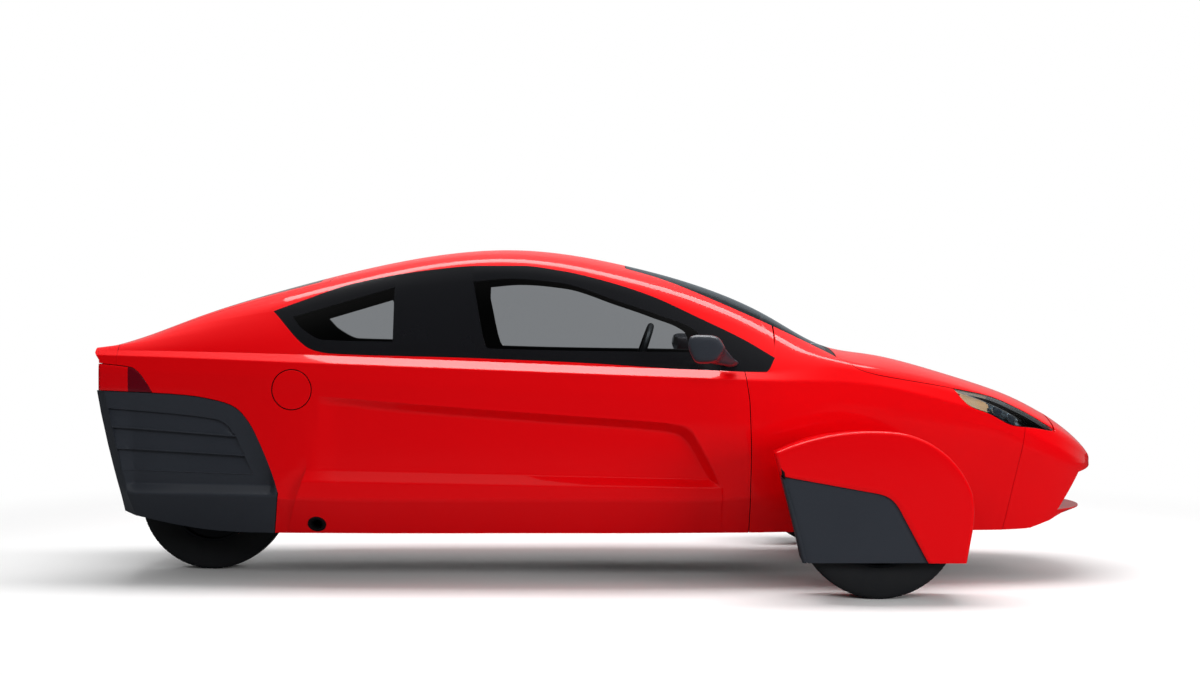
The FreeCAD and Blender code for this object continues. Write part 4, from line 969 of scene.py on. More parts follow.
quarterGlass = paneGrid(window["quarter"], quarterFoot, quarterTop)
frontGlass = paneGrid(window["door"], frontFoot, frontTop)
sideGlass = halves("sideGlass", [quarterGlass, frontGlass], "tintedSafetyGlass", [quarterGlass])
place(sideGlass, "body", "tinted_glass", "side_glass")
doorPoints, doorFaces = joined(otherSide([frontGlass]), flip=True)
place(meshObject("doorGlass", doorPoints, doorFaces, ["tintedSafetyGlass"]), "door", "tinted_glass",
      "door_glass")

print("front panels")
front = {"screenFoot": 915, "cowl": 945, "lampRear": 1429, "hoodFront": 1875, "noseSeam": 1731,
         "step": 13, "cowlWall": 8, "hoodGap": 2.5, "hoodShare": 0.026, "screenShare": 0.004,
         "pillarRear": 640, "bandFrom": 900, "rearLean": (760, 170), "noseLeanFrom": 1250,
         "underside": 60, "screenStep": 14, "screenRows": 15, "cowlStep": 8, "cowlRows": 17,
         "hoodRows": 22, "bandRows": 6, "pillarStep": 8, "pillarRows": 8}
screenColumns = spaced(roof["screenTop"] + seam, front["screenFoot"], front["screenStep"])
screenGrid = skinGrid(screenColumns, bandRows(lambda x: screenShare(x) + front["screenShare"],
                                              crown, front["screenRows"]))
screenPiece = halves("windshield", [screenGrid], "clearSafetyGlass")
place(screenPiece, "body", "clear_glass", "windshield")
cowlGrid = skinGrid(spaced(front["screenFoot"] + 1, front["cowl"] - 2, front["cowlStep"]),
                    bandRows(screenShare, crown, front["cowlRows"]))
wholePanel("cowlPanel", [cowlGrid], "black_plastic", ["cowl_panel"], thickness=front["cowlWall"])
hoodColumns = spaced(front["cowl"] + front["hoodGap"], front["hoodFront"] - front["hoodGap"],
                     front["step"])
hoodGrid = skinGrid(hoodColumns, bandRows(lambda x: byHeight(hoodEdge)(x) + front["hoodShare"],
                                          crown, front["hoodRows"]))
wholePanel("hoodSkin", [hoodGrid], "red_paint", ["hood"], body="hood")


# The fender's upper edge: belt, window, windshield, hood and headlamp, one behind another.
def fenderTop(x):
    starts = [x < window["corner"], x < window["front"], x < front["cowl"], x < front["lampRear"]]
    return np.select(starts, [beltLine(x), windowFoot(x), screenEdge(x), hoodEdge(x)], lampFoot(x))


fenderShare = lambda x: np.where(fenderTop(x) > cornerAt(x)["f"][..., 1],
                                 upperShare(x, fenderTop(x), 1), 0)
pillarFoot = np.array([float(window["front"])])
footRatio = float((upperShare(pillarFoot, np.array([float(window["frontHigh"])]), 1) / upperShare(
    pillarFoot, screenEdge(pillarFoot), 1))[0])
bandRatio = lambda x: np.where(x < window["front"], 1.0,
                               np.interp(x, [window["front"], front["bandFrom"]], [footRatio, 0.5]))
innerTop = lambda x: fenderShare(x) * bandRatio(x)


# Leans the columns to the door's seam behind and to the nose's seam in front.
def fenderShift(x, z):
    until, over = front["rearLean"]
    rear = (fenderSeamX(z) - side["seam"]) * np.clip((until - x) / over, 0, 1)
    fade = np.clip((x - front["noseLeanFrom"]) / (front["noseSeam"] - front["noseLeanFrom"]), 0, 1)
    return rear + np.minimum((noseSeamX(z) - front["noseSeam"]) * fade, 0)


opening = {"rear": 862, "front": 1242, "top": 476}
fenderColumns = spaced(side["seam"] + seam, front["noseSeam"] - seam, front["step"],
                       [window["corner"], window["front"] - 0.1, window["front"], opening["rear"],
                        front["cowl"] - 0.1, front["cowl"], opening["front"], front["lampRear"]])
fenderLower = skinGrid(fenderColumns, lambda x: lowerRows(x, high=fenderTop, plain=True),
                       fenderShift)
fenderBand = skinGrid(fenderColumns, bandRows(belt, innerTop, front["bandRows"]), fenderShift)
# The pillar's foot, which runs up to a point, and the band inside the fender's top.
pillarLow = line([(front["pillarRear"], 1075), (window["front"], window["frontHigh"])])
spike = skinGrid(spaced(front["pillarRear"], window["front"], front["pillarStep"]),
                 bandRows(byHeight(pillarLow), screenShare, front["pillarRows"]))
aheadColumns = fenderColumns[fenderColumns >= window["front"]]
fenderUpper = skinGrid(aheadColumns, bandRows(innerTop, fenderShare, front["pillarRows"]),
                       fenderShift)
fenderX, fenderZ = fenderLower[..., 0], fenderLower[..., 2]
inOpening = ((fenderX > opening["rear"] - 1) & (fenderX < opening["front"] + 1) &
             (fenderZ < opening["top"] + 1))
openRows = np.nonzero(inOpening.any(1))[0].max()
openColumns = np.nonzero(inOpening[0])[0]
behindOpening, pastOpening = slice(None, openColumns[0] + 1), slice(openColumns[-1], None)
fenderUnder = undersideRow(fenderLower, front["underside"])[:2]
fenderParts = [fenderLower[:, behindOpening], fenderLower[:, pastOpening],
               fenderLower[openRows:, openColumns[0]:openColumns[-1] + 1], fenderBand, spike,
               fenderUpper, fenderUnder[:, behindOpening], fenderUnder[:, pastOpening]]
bodyPanel("fenderRight", fenderParts, "red_paint", ["fender_right"])
bodyPanel("fenderLeft", fenderParts, "red_paint", ["fender_left"], left=True)

print("tail and rear cover")
# The tail end: height, x on the centre plane and x at the corners (half width 400).
tailTable = np.array([(120, -2040, -1925), (277, -2056, -1970), (564, -2088, -2058),
                      (690, -2098, -2090), (800, -2104, -2108), (900, -2100, -2084),
                      (912, -2100, -2084), (944, -2104, -2106), (1010, -2104, -2106)], float)
tail = {"corner": 400, "coverTop": 804, "plateX": -2078, "plateHalf": 170, "plateLow": 585,
        "plateHigh": 715, "plateReach": 395,
        "rearShares": [0, 0.1, 0.2, 0.3, 0.52, 0.6, 0.68, 0.76, 0.84, 0.92, 1.0],
        "cornerEdge": ([285, 790], [-1961, -2063]), "cornerSlope": 0.8, "coverWall": 9,
        "coverCrease": 20, "underside": 60, "panelFront": -2010,
        "endColumns": [-2100, -2094, -2084], "columnsFrom": -2072,
        "hatchColumns": [-2100, -2090, -2078, -2062, -2046], "step": 12, "topRows": 9,
        "middleRows": 12, "betweenRows": 8, "betweenColumns": 9}
tailLamp = {"inner": 250, "x": -2094, "turn": 8, "wall": 4, "dark": -1960, "rear": -2100, "rows": 9,
            "rearRows": 12, "frontGap": 14, "step": 12, "darkStep": 8}
louvres = {"depth": 13, "lip": 6, "footLip": (-1, 0.6, 4), "slatLip": (-0.8, 0.8, 6), "tail": -2098,
           "rear": -1994, "front": -1440, "frontEdge": ([446, 606], [-1440, -1509]),
           "ledgeOut": 366, "ledgeIn": 404, "ledgeDepth": 36, "fadeFront": (14, 25),
           "fadeRear": (10, 60), "fadeHigh": 500, "edgeStep": 1.6, "step": 16, "tailColumn": -2046,
           "aheadColumns": (-1428, -1352, 11), "seamColumns": [-1344, -1338, -1333, -1330],
           "cuts": [0, 9, 6] + [0] * 12, "fills": [5, 1, 1, 0, 0, 3, 0, 0, 3, 0, 0, 3, 0, 4],
           "lines": [straight([(-2060, 459), (-1440, 446)]), straight([(-2060, 549), (-1440, 521)]),
                     straight([(-2060, 638), (-1440, 597)]),
                     line([(-2060, 716), (-1595, 673), (-1545, 650), (-1509, 607), (-1440, 603)])]}


# The tail end's x at a half width and height: middle + (corner - middle)(y/400)^2.
def tailX(wide, high):
    middle = np.interp(high, tailTable[:, 0], tailTable[:, 1])
    corner = np.interp(high, tailTable[:, 0], tailTable[:, 2])
    return middle + (corner - middle) * (wide / tail["corner"]) ** 2


# Points on rows and columns where each column's place along X depends on its own half width and
# height: the two are worked out in turn until they settle.
def settledGrid(columns, rowsAt, placeAt, rounds=5):
    x = np.asarray(columns, float)
    rows = rowsAt(x)
    for _ in range(rounds):
        places = placeAt(x, rows[..., 0], rows[..., 1])
        rows = np.stack([rowsAt(places[r])[r] for r in range(len(rows))])
    return np.dstack([places, -rows[..., 0], rows[..., 1]])


# The edge where the side of the tail turns to the rear.
def cornerEdgeX(z):
    return np.interp(z, *tail["cornerEdge"])


# Columns of the rear cover: from the tail end to the corner edge, on to the louvres' slanting
# front, and on to the seam.
def coverPlace(x, wide, z):
    atTail, atCorner = tailX(wide, z), cornerEdgeX(z)
    atFront, atSeam = np.interp(z, *louvres["frontEdge"]), coverFoot["x"] - 2 * seam + footLean(z)
    ends = [louvres["tail"], louvres["rear"], louvres["front"], coverFoot["x"]]
    places = [atTail, atCorner, atFront, atSeam]
    rear, field, ahead = (low + (high - low) * (x - start) / (end - start)
                          for low, high, start, end in zip(places, places[1:], ends, ends[1:]))
    return np.where(x < louvres["rear"], rear, np.where(x < louvres["front"], field, ahead))


# Rows up the rear cover: bottom edge, sloping ledge, then slats that lean out downwards and end in
# a lip, each depth x (0 at its own lip, 1 under the next), and the flat above.
def coverRows(x, inField):
    corner = cornerAt(x)
    b, c, d = corner["b"], corner["c"], corner["d"]
    (frontGap, frontFade), (rearGap, rearFade) = louvres["fadeFront"], louvres["fadeRear"]
    fade = np.clip((coverFoot["x"] - frontGap - x) / frontFade, 0, 1) * np.clip(
        (x - cornerEdgeX(louvres["fadeHigh"]) + rearGap) / rearFade, 0, 1)

    def skin(z, inset=0.0):
        share = (z - c[..., 1]) / (d[..., 1] - c[..., 1])
        low = b[..., 0] + (c[..., 0] - b[..., 0]) * (z - b[..., 1]) / (c[..., 1] - b[..., 1])
        plain = np.where(z < c[..., 1], low, c[..., 0] + (d[..., 0] - c[..., 0]) * share)
        ledgeIn, edge = louvres["ledgeIn"], coverEdge(x)
        ledge = louvres["ledgeDepth"] * fade * np.clip((edge - z) / (edge - ledgeIn + 1e-6), 0, 1)
        wide = plain - np.where(z > ledgeIn - 1, ledge, 0) - inset * inField
        return np.stack([wide, z + 0 * x], -1)

    outer = skin(np.full_like(x, louvres["ledgeOut"]))
    outer[..., 0] += (c[..., 0] - outer[..., 0]) * fade
    rails = [b, outer, skin(np.full_like(x, louvres["ledgeIn"]))]
    foot, *slats = (slat(x) for slat in louvres["lines"])
    under, over, back = louvres["footLip"]
    rails += [skin(foot + under), skin(foot + over, -louvres["lip"] / 2), skin(foot + back, 1)]
    under, over, back = louvres["slatLip"]
    for z in slats[:-1]:
        rails += [skin(z + under, louvres["depth"]), skin(z + over, -louvres["lip"]),
                  skin(z + back, 1)]
    rails += [skin(slats[-1] + under, louvres["depth"]), skin(slats[-1] + over)]
    high = np.maximum(coverEdge(x), rails[-1][..., 1] + 2)
    rails.append(skin(high))
    for low, up in zip(rails, rails[1:]):
        up[..., 1] = np.maximum(up[..., 1], low[..., 1] + 0.3)
    rows = roundedRows(rails, louvres["cuts"], louvres["fills"])
    rows[..., 0] -= tail["cornerSlope"] * np.maximum(cornerEdgeX(rows[..., 1]) - x, 0)
    return cutRows(rows, high=coverEdge(x) - seam)


fieldColumns = spaced(louvres["rear"], louvres["front"], louvres["step"])
coverColumns = np.concatenate([[louvres["tail"], louvres["tailColumn"], louvres["rear"],
                                louvres["rear"] + louvres["edgeStep"]], fieldColumns[1:-1],
                               [louvres["front"] - louvres["edgeStep"], louvres["front"]],
                               spaced(*louvres["aheadColumns"]), louvres["seamColumns"],
                               [coverFoot["x"]]])
inField = ((coverColumns > louvres["rear"] + 1) &
           (coverColumns < louvres["front"] - 1)).astype(float)
coverGrid = settledGrid(coverColumns, lambda x: coverRows(x, inField), coverPlace)


# The tail end between the centre plane and the side's last column, row by row.
def rearFace(sideColumn, shares):
    wide, z = -sideColumn[:, 1:2] * shares, np.repeat(sideColumn[:, 2:3], len(shares), 1)
    return np.dstack([tailX(wide, z), -wide, z])


# The number plate's recess is bare: a plain field pressed into the rear face.
plateShare = tail["plateHalf"] / tail["plateReach"]
coverRear = rearFace(coverGrid[:, 0],
                     np.sort(np.append(tail["rearShares"], [plateShare, plateShare + 0.004])))
rearY, rearZ = np.abs(coverRear[..., 1]), coverRear[..., 2]
inPlate = ((rearY < tail["plateHalf"] + 0.5) & (rearZ > tail["plateLow"]) &
           (rearZ < tail["plateHigh"]))
coverRear[..., 0] = np.where(inPlate, np.maximum(coverRear[..., 0], tail["plateX"]),
                             coverRear[..., 0])
wholePanel("rearCover", [coverGrid, coverRear, undersideRow(coverGrid, tail["underside"])[:2]],
           "grained_plastic", ["rear_cover"], thickness=tail["coverWall"],
           crease=tail["coverCrease"])

# The red tail: its sides, the strip round the hatch, and the end face above and between the lamps.
tailColumns = spaced(tail["columnsFrom"], tail["panelFront"] - side["tailGap"], tail["step"])
tailColumns = np.concatenate([tail["endColumns"], tailColumns])


# Columns from the tail end to the panel's front, with the first on the end face.
def tailPlace(x, wide, z):
    share = (x - x[0]) / (x[-1] - x[0])
    atTail = tailX(wide, z)
    return atTail + (x[-1] - atTail) * share


lampTopSeam = lambda x: lampTopLine(x) + seam
tailSide = settledGrid(tailColumns, lambda x: lowerRows(x, low=lampTopSeam, sillOn=False),
                       tailPlace)
tailTop = settledGrid(tailColumns, bandRows(belt, hatchSide, tail["topRows"]), tailPlace)
hatchBack = np.append(tail["hatchColumns"], roof["hatchRear"] - roof["gap"])
tailMiddle = settledGrid(hatchBack, bandRows(hatchSide, crown, tail["middleRows"]), tailPlace)


# A patch over (half width, height) between a bottom and a top row, from the centre plane to a side
# column: straight down each column, plus the side's own departure fading to the middle.
def blendedPatch(bottom, top, side):
    down = np.linspace(0, 1, len(side))[:, None, None]
    across = np.linspace(0, 1, len(bottom))[None, :, None]
    ruled = bottom * (1 - down) + top * down
    return ruled + (side[:, None] - ruled[:, -1:]) * across ** 3


topCurve = np.concatenate([tailMiddle[:0:-1, 0], tailTop[::-1, 0]])[:, 1:] * np.array([-1, 1])
sideCurve = tailSide[:, 0, 1:] * np.array([-1, 1])
lampRow = np.stack([topCurve[:, 0] / topCurve[-1, 0] * sideCurve[0, 0],
                    np.full(len(topCurve), sideCurve[0, 1])], -1)
endPatch = blendedPatch(lampRow, topCurve, sideCurve)
endFace = np.dstack([tailX(endPatch[..., 0], endPatch[..., 1]), -endPatch[..., 0],
                     endPatch[..., 1]])
betweenY, betweenZ = np.meshgrid(
    np.linspace(0, tailLamp["inner"] - seam, tail["betweenColumns"]),
    np.linspace(tail["coverTop"] + seam, sideCurve[0, 1], tail["betweenRows"]))
between = np.dstack([tailX(betweenY, betweenZ), -betweenY, betweenZ])
wholePanel("tailPanel", [tailSide, tailTop, tailMiddle, endFace, between], "red_paint",
           ["tail_panel"])

# Tail lamps: one lens round each corner, dark at its front end.
lampColumns = np.concatenate([[tailLamp["rear"]],
                              spaced(tailLamp["rear"] + tailLamp["frontGap"],
                                     tail["panelFront"] - 1, tailLamp["step"]),
                              [tail["panelFront"], tailLamp["dark"] - 1, tailLamp["dark"]],
                              spaced(tailLamp["dark"] + tailLamp["step"],
                                     side["lampFront"] - tailLamp["wall"], tailLamp["darkStep"])])


# Rows between the cover's edge and the lamp's top, on the side's own curve.
def lampRows(x):
    low, high = coverEdge(x) + seam, lampTopLine(x) - seam
    rows = lowerRows(x, sillOn=False)
    z = low + (np.maximum(high, low + 0.2) - low) * np.linspace(0, 1, tailLamp["rows"])[:, None]
    wide = np.stack([np.interp(z[:, j], rows[:, j, 1], rows[:, j, 0]) for j in range(len(x))], 1)
    return np.dstack([wide, z])


# The rear of the tail lamps, curved in plan like the tail.
def lampX(wide):
    return tailLamp["x"] + tailLamp["turn"] * (wide / tail["corner"]) ** 2


# Columns of the lens: spread between its rear and the tail panel's front, and plain ahead.
def lampPlace(x, wide, z):
    atTail = lampX(wide) + 0 * z
    spread = atTail + (tail["panelFront"] - atTail) * (x - x[0]) / (tail["panelFront"] - x[0])
    return np.where(x < tail["panelFront"], spread, x)


lensSide = settledGrid(lampColumns, lampRows, lampPlace)
lensInner = (tailLamp["inner"] + seam) / -lensSide[:, :1, 1]
lensShare = lensInner + (1 - lensInner) * np.linspace(0, 1, tailLamp["rearRows"])[None, :]
lensWide = -lensSide[:, :1, 1] * lensShare
lensHigh = np.repeat(lensSide[:, :1, 2], tailLamp["rearRows"], 1)
lensRear = np.dstack([lampX(lensWide), -lensWide, lensHigh])
lensPoints, lensFaces = joined([lensSide, lensRear])
lensZone = np.where(lensPoints[lensFaces].mean(1)[:, 0] > tailLamp["dark"], 1, 0)
tailLens = bothSides("tailLens", [([lensSide, lensRear], lensZone)],
                     ["redLampLens", "darkLampLens"])
thicken(tailLens, tailLamp["wall"])
place(tailLens, "body", "red_lens", "taillights")

print("hatch")
hatch = {"glassRear": -1740, "glassFront": -1200, "glassHalf": 265, "gap": 2, "glassShare": 0.008,
         "step": 14, "rimRows": 6, "endRows": 9, "glassStep": 15, "glassRows": 11}
hatchEdge = atHalf(roof["hatchHalf"])
glassEdge = atHalf(hatch["glassHalf"])
hatchColumns = spaced(roof["hatchRear"], roof["hatchFront"], hatch["step"],
                      [hatch["glassRear"], hatch["glassFront"]])
rim = skinGrid(hatchColumns, bandRows(hatchEdge, glassEdge, hatch["rimRows"]))
behind = skinGrid(hatchColumns[hatchColumns <= hatch["glassRear"] + 0.1],
                  bandRows(glassEdge, crown, hatch["endRows"]))
ahead = skinGrid(hatchColumns[hatchColumns >= hatch["glassFront"] - 0.1],
                 bandRows(glassEdge, crown, hatch["endRows"]))
wholePanel("hatchShell", [rim, behind, ahead], "red_paint", ["hatch_shell"], body="hatch")
paneColumns = spaced(hatch["glassRear"] + hatch["gap"], hatch["glassFront"] - hatch["gap"],
                     hatch["glassStep"])
hatchPane = skinGrid(paneColumns, bandRows(lambda x: glassEdge(x) + hatch["glassShare"], crown,
                                           hatch["glassRows"]))
place(halves("hatchGlass", [hatchPane], "tintedSafetyGlass"), "hatch", "tinted_glass",
      "hatch_glass")

print("wheel fairings")
pod = {"axle": 1052, "inner": 618, "outer": 848, "drawIn": 250, "slope": 0.42, "wall": 5,
       "panelIn": 8, "rearFoot": (748, 149), "rearTop": (641, 570), "rise": (842, 635),
       "crown": (1072, 650), "shoulder": (1284, 572), "brow": (1397, 412), "chin": (1408, 330),
       "frontFoot": (1374, 149), "middle": (1060, 330), "drop": 14,
       "edge": [(0, 14), (1.5, 7.5), (5, 3), (10, 0.7), (16, 0)],
       "slot": [(902, 149), (902, 500), (1202, 500), (1202, 149)],
       "panelEdge": [(658, 482), (1062, 409), (1104, 378), (1226, 149)], "panelRound": 34,
       "turnIn": 7, "chinRound": 130, "slotRound": 40, "faceIn": 0.5, "panelWall": 3,
       "counts": (19, 26, 30, 16), "insideRows": 9, "rimRows": 8, "faceRows": 12}


# Points on the circle through three places, from a to c.
def arcThrough(a, b, c, count):
    a, b, c = (np.asarray(p, float) for p in (a, b, c))
    matrix = 2 * np.array([b - a, c - a])
    centre = np.linalg.solve(matrix, [b @ b - a @ a, c @ c - a @ a])
    angles = np.unwrap([math.atan2(*(p - centre)[::-1]) for p in (a, b, c)])
    turn = np.linspace(angles[0], angles[2], count)
    return centre + np.linalg.norm(a - centre) * np.stack([np.cos(turn), np.sin(turn)], -1)


# A path of places resampled to count points at equal steps along it.
def evenly(path, count):
    path = np.asarray(path, float)
    along = np.concatenate([[0], np.cumsum(np.linalg.norm(np.diff(path, axis=0), axis=1))])
    steps = np.linspace(0, along[-1], count)
    return np.stack([np.interp(steps, along, path[:, k]) for k in (0, 1)], -1)


# A path whose inner corners are quadratic curves, radius mm back along each side.
def roundedPath(corners, radius, count):
    corners = np.asarray(corners, float)
    path = [corners[0]]
    for k in range(1, len(corners) - 1):
        a, b = (cutBack(corners[k], other, radius) for other in (corners[k - 1], corners[k + 1]))
        path += [bent(a, corners[k], b, t) for t in np.linspace(0, 1, 12)]
    return evenly(path + [corners[-1]], count)


rearCount, crownCount, browCount, chinCount = pod["counts"]
podRear = evenly([pod["rearFoot"], pod["rearTop"]], rearCount)
podCrown = arcThrough(pod["rearTop"], pod["rise"], pod["crown"], crownCount)
podBrow = arcThrough(pod["crown"], pod["shoulder"], pod["brow"], browCount)
podFront = roundedPath([pod["brow"], pod["chin"], pod["frontFoot"]], pod["chinRound"], chinCount)
podOutline = np.concatenate([podRear, podCrown[1:], podBrow[1:], podFront[1:]])
panelLevel = int(np.argmin(np.abs(podRear[:, 1] - pod["panelEdge"][0][1])))


# The outline drawn towards the fairing's middle, with its feet kept at their height.
def insetPath(path, inset):
    towards = np.array(pod["middle"]) - path
    moved = path + inset * towards / np.linalg.norm(towards, axis=1, keepdims=True)
    moved[[0, -1], 1] = pod["rearFoot"][1]
    return moved


# Half width of the fairing's inner wall, drawn in towards the car's middle at both ends.
def innerWall(x):
    past = np.maximum(np.abs(x - pod["axle"]) - pod["drawIn"], 0)
    return pod["inner"] - 0 * x + pod["slope"] * past


# Rows from one path to another, over (x, width, z) points.
def ruledBetween(first, last, count):
    shares = np.linspace(0, 1, count)[:, None, None]
    return first * (1 - shares) + last * shares


# A path of (x, z) places at one half width, or at one for each place.
def atWidth(path, wide):
    return np.stack([path[:, 0], -(wide + 0 * path[:, 0]), path[:, 1]], -1)


# A path laid on the inner wall, or a distance outside it.
def onWall(path, out=0):
    return atWidth(path, innerWall(path[:, 0]) + out)


# The right fairing: inner wall round its slot, edge rounded in profile, outer face.
def podGrids():
    slotPath = roundedPath(pod["slot"], pod["slotRound"], len(podOutline))
    innerEdge, innerRim = (insetPath(podOutline, pod["drop"] + more) for more in (pod["turnIn"], 0))
    inside = ruledBetween(onWall(slotPath), onWall(innerEdge), pod["insideRows"])
    innerRim = onWall(innerRim, pod["turnIn"])
    outerRim = [atWidth(insetPath(podOutline, inset), pod["outer"] - depth)
                for inset, depth in pod["edge"]]
    rim = np.concatenate([inside[-1:], ruledBetween(innerRim, outerRim[0], pod["rimRows"]),
                          np.stack(outerRim[1:])])
    faceRim = rim[-1, panelLevel:]
    panelPath = roundedPath(pod["panelEdge"], pod["panelRound"], len(faceRim))
    panelPath[0] = faceRim[0, [0, 2]]
    face = ruledBetween(faceRim, atWidth(panelPath, pod["outer"] - pod["faceIn"]), pod["faceRows"])
    step = ruledBetween(face[-1], atWidth(panelPath, pod["outer"] - pod["panelIn"]), 2)
    return inside[:, ::-1], rim[:, ::-1], face[:, ::-1], step[:, ::-1], panelPath


podInside, podRim, podFace, podStep, panelPath = podGrids()
rearPath = podRim[-1, -(panelLevel + 1):][:, [0, 2]]
lowerPath = evenly(np.concatenate([rearPath, panelPath[-1:]]), len(panelPath))
panelFace = ruledBetween(*(atWidth(path, pod["outer"] - pod["panelIn"])
                           for path in (panelPath, lowerPath)), pod["rimRows"])[:, ::-1]
lowerRim = podRim[:, -(panelLevel + 1):]
upperRim = podRim[:, :-panelLevel]
for name, label, left in (("podRight", "right", False), ("podLeft", "left", True)):
    body = "upright_" + label
    bodyPanel(name, [podInside, upperRim, podFace, podStep], "red_paint", ["pod_" + label],
              body=body, left=left, thickness=pod["wall"], edge=None)
    bodyPanel(name + "Panel", [panelFace, lowerRim], "grained_plastic", ["pod_cover_" + label],
              body=body, left=left, thickness=pod["panelWall"], edge=None)

# Behind the pillars: black trim that closes the slits beside the door.
pillarTrim = {"rear": -858, "front": -550, "behind": 22, "wall": 3, "step": 22, "rows": 9}
trimGrid = skinGrid(spaced(pillarTrim["rear"], pillarTrim["front"], pillarTrim["step"]),
                    bandRows(byHeight(windowFoot), byHeight(windowTop), pillarTrim["rows"]))
trimGrid[..., 1] += pillarTrim["behind"]
trim = halves("pillarTrim", [trimGrid], "mouldedBlackPlastic")
thicken(trim, pillarTrim["wall"])
place(trim, "body", "black_plastic")

print("headlamps")
lamp = {"rear": 1431.5, "front": 1872.5, "step": 8, "rows": 19, "depth": 20, "riseAlong": 0.05,
        "riseUp": 0.2, "fullDepthAt": 75, "wall": 3, "clear": 0.6, "amberEnd": 1579,
        "reflectorEnd": 1721, "facet": 17, "facetDepth": 4, "facetRows": 4,
        "domes": [(1622, 0.52, 20), (1684, 0.5, 16.8)], "domeFlat": 0.55, "domeRings": 9,
        "domeTurns": 28, "ring": 3, "ringDeep": 4, "ringTurns": 8, "pathShares": (0.02, 1.95),
        "pathRows": 60}


# Points between the lamp's foot and the hood's edge, on the body's own section at each x.
def lampSkin(x, shares):
    above = upperRows(x, *(np.full_like(x, share) for share in lamp["pathShares"]),
                      lamp["pathRows"])
    path = np.concatenate([lowerRows(x, plain=True), above])
    low, high = lampFoot(x) + seam, hoodEdge(x) - seam
    z = low + (np.maximum(high, low + 0.3) - low) * shares
    wide = np.stack([np.interp(z[:, j], path[:, j, 1], path[:, j, 0]) for j in range(len(x))], 1)
    return np.dstack([np.broadcast_to(x, z.shape), -wide, z])


# Unit normals of a grid: the cross product of its two slopes.
def outward(grid):
    normal = np.cross(np.gradient(grid, axis=1), np.gradient(grid, axis=0))
    return normal / np.maximum(np.linalg.norm(normal, axis=2, keepdims=True), 1e-9)


lampColumns = spaced(lamp["rear"], lamp["front"], lamp["step"],
                     [lamp["amberEnd"], lamp["reflectorEnd"]])
lampShares = np.linspace(0, 1, lamp["rows"])[:, None]
lensGrid = lampSkin(lampColumns, lampShares)
along = (lampColumns - lamp["rear"]) / (lamp["front"] - lamp["rear"])
rise = np.minimum(np.minimum(along, 1 - along) / lamp["riseAlong"],
                  np.minimum(lampShares, 1 - lampShares) / lamp["riseUp"])
rise = np.clip(rise, 0, 1)
rise = rise * rise * (3 - 2 * rise)
roomy = np.clip((hoodEdge(lampColumns) - lampFoot(lampColumns)) / lamp["fullDepthAt"], 0, 1)
# The reflector is faceted: upright flutes and level steps, each an |sin| wave.
inReflector = (lampColumns > lamp["amberEnd"] + 4) & (lampColumns < lamp["reflectorEnd"] - 4)
flutes = math.pi * (lampColumns - lamp["amberEnd"]) / lamp["facet"]
facets = lamp["facetDepth"] * np.abs(np.sin(flutes)) * inReflector
steps = lamp["facetDepth"] * np.abs(np.sin(math.pi * lamp["facetRows"] * lampShares)) * inReflector
bowlDepth = lamp["wall"] + lamp["clear"] + (lamp["depth"] + facets + steps) * rise * roomy
bowlGrid = lensGrid - outward(lensGrid) * bowlDepth[..., None]
bowlPoints, bowlFaces = joined([bowlGrid])
bowlX = bowlPoints[bowlFaces].mean(1)[:, 0]
bowlZone = np.where(bowlX < lamp["amberEnd"], 0, np.where(bowlX < lamp["reflectorEnd"], 1, 2))


# A half ball about an axis: centre + radius (cos b axis + sin b (cos a u + sin a v)), and round it
# a chrome ring whose section is a small circle.
def dome(centre, axis, radius):
    axis = axis / np.linalg.norm(axis)
    u = np.cross(axis, [0, 0, 1.0])
    u /= np.linalg.norm(u)
    v = np.cross(axis, u)
    a = np.linspace(0, 2 * math.pi, lamp["domeTurns"] + 1)
    around = np.cos(a)[:, None] * u + np.sin(a)[:, None] * v
    b = np.linspace(math.pi / 2, 0, lamp["domeRings"])[:, None, None]
    ball = centre + radius * (np.cos(b) * axis * lamp["domeFlat"] + np.sin(b) * around[None])
    c = np.linspace(0, 2 * math.pi, lamp["ringTurns"] + 1)[:, None, None]
    wide = radius + lamp["ring"] * (1 + np.cos(c))
    ring = centre + wide * around[None] + lamp["ringDeep"] * np.sin(c) * axis
    return ball, ring


domeGrids, ringGrids = [], []
for domeX, domeShare, domeRadius in lamp["domes"]:
    spot = lampSkin(domeX + np.array([-4.0, 0.0, 4.0]),
                    domeShare + np.array([[-0.05], [0.0], [0.05]]))
    way = outward(spot)[1, 1]
    ball, ring = dome(spot[1, 1] - way * (lamp["depth"] - 2), way, domeRadius)
    domeGrids.append(ball)
    ringGrids.append(ring)
# Each zone's number picks its material from the list.
# Zone 0 is the amber indicator, with its painted highlight in cream blotches.
lampBowl = bothSides("lampBowl", [([bowlGrid], bowlZone), (ringGrids, 1), (domeGrids, 3)],
                     ["amberIndicatorPaintedHighlight", "aluminisedReflector", "darkLampHousing", "projectorGlass"])
place(lampBowl, "body", "lamp_lens", "headlamps")
lampLens = bothSides("lampLens", [([lensGrid], 0)], ["clearLampLens"])
thicken(lampLens, lamp["wall"])
place(lampLens, "body", "lamp_lens", "headlamps")

print("mirrors")
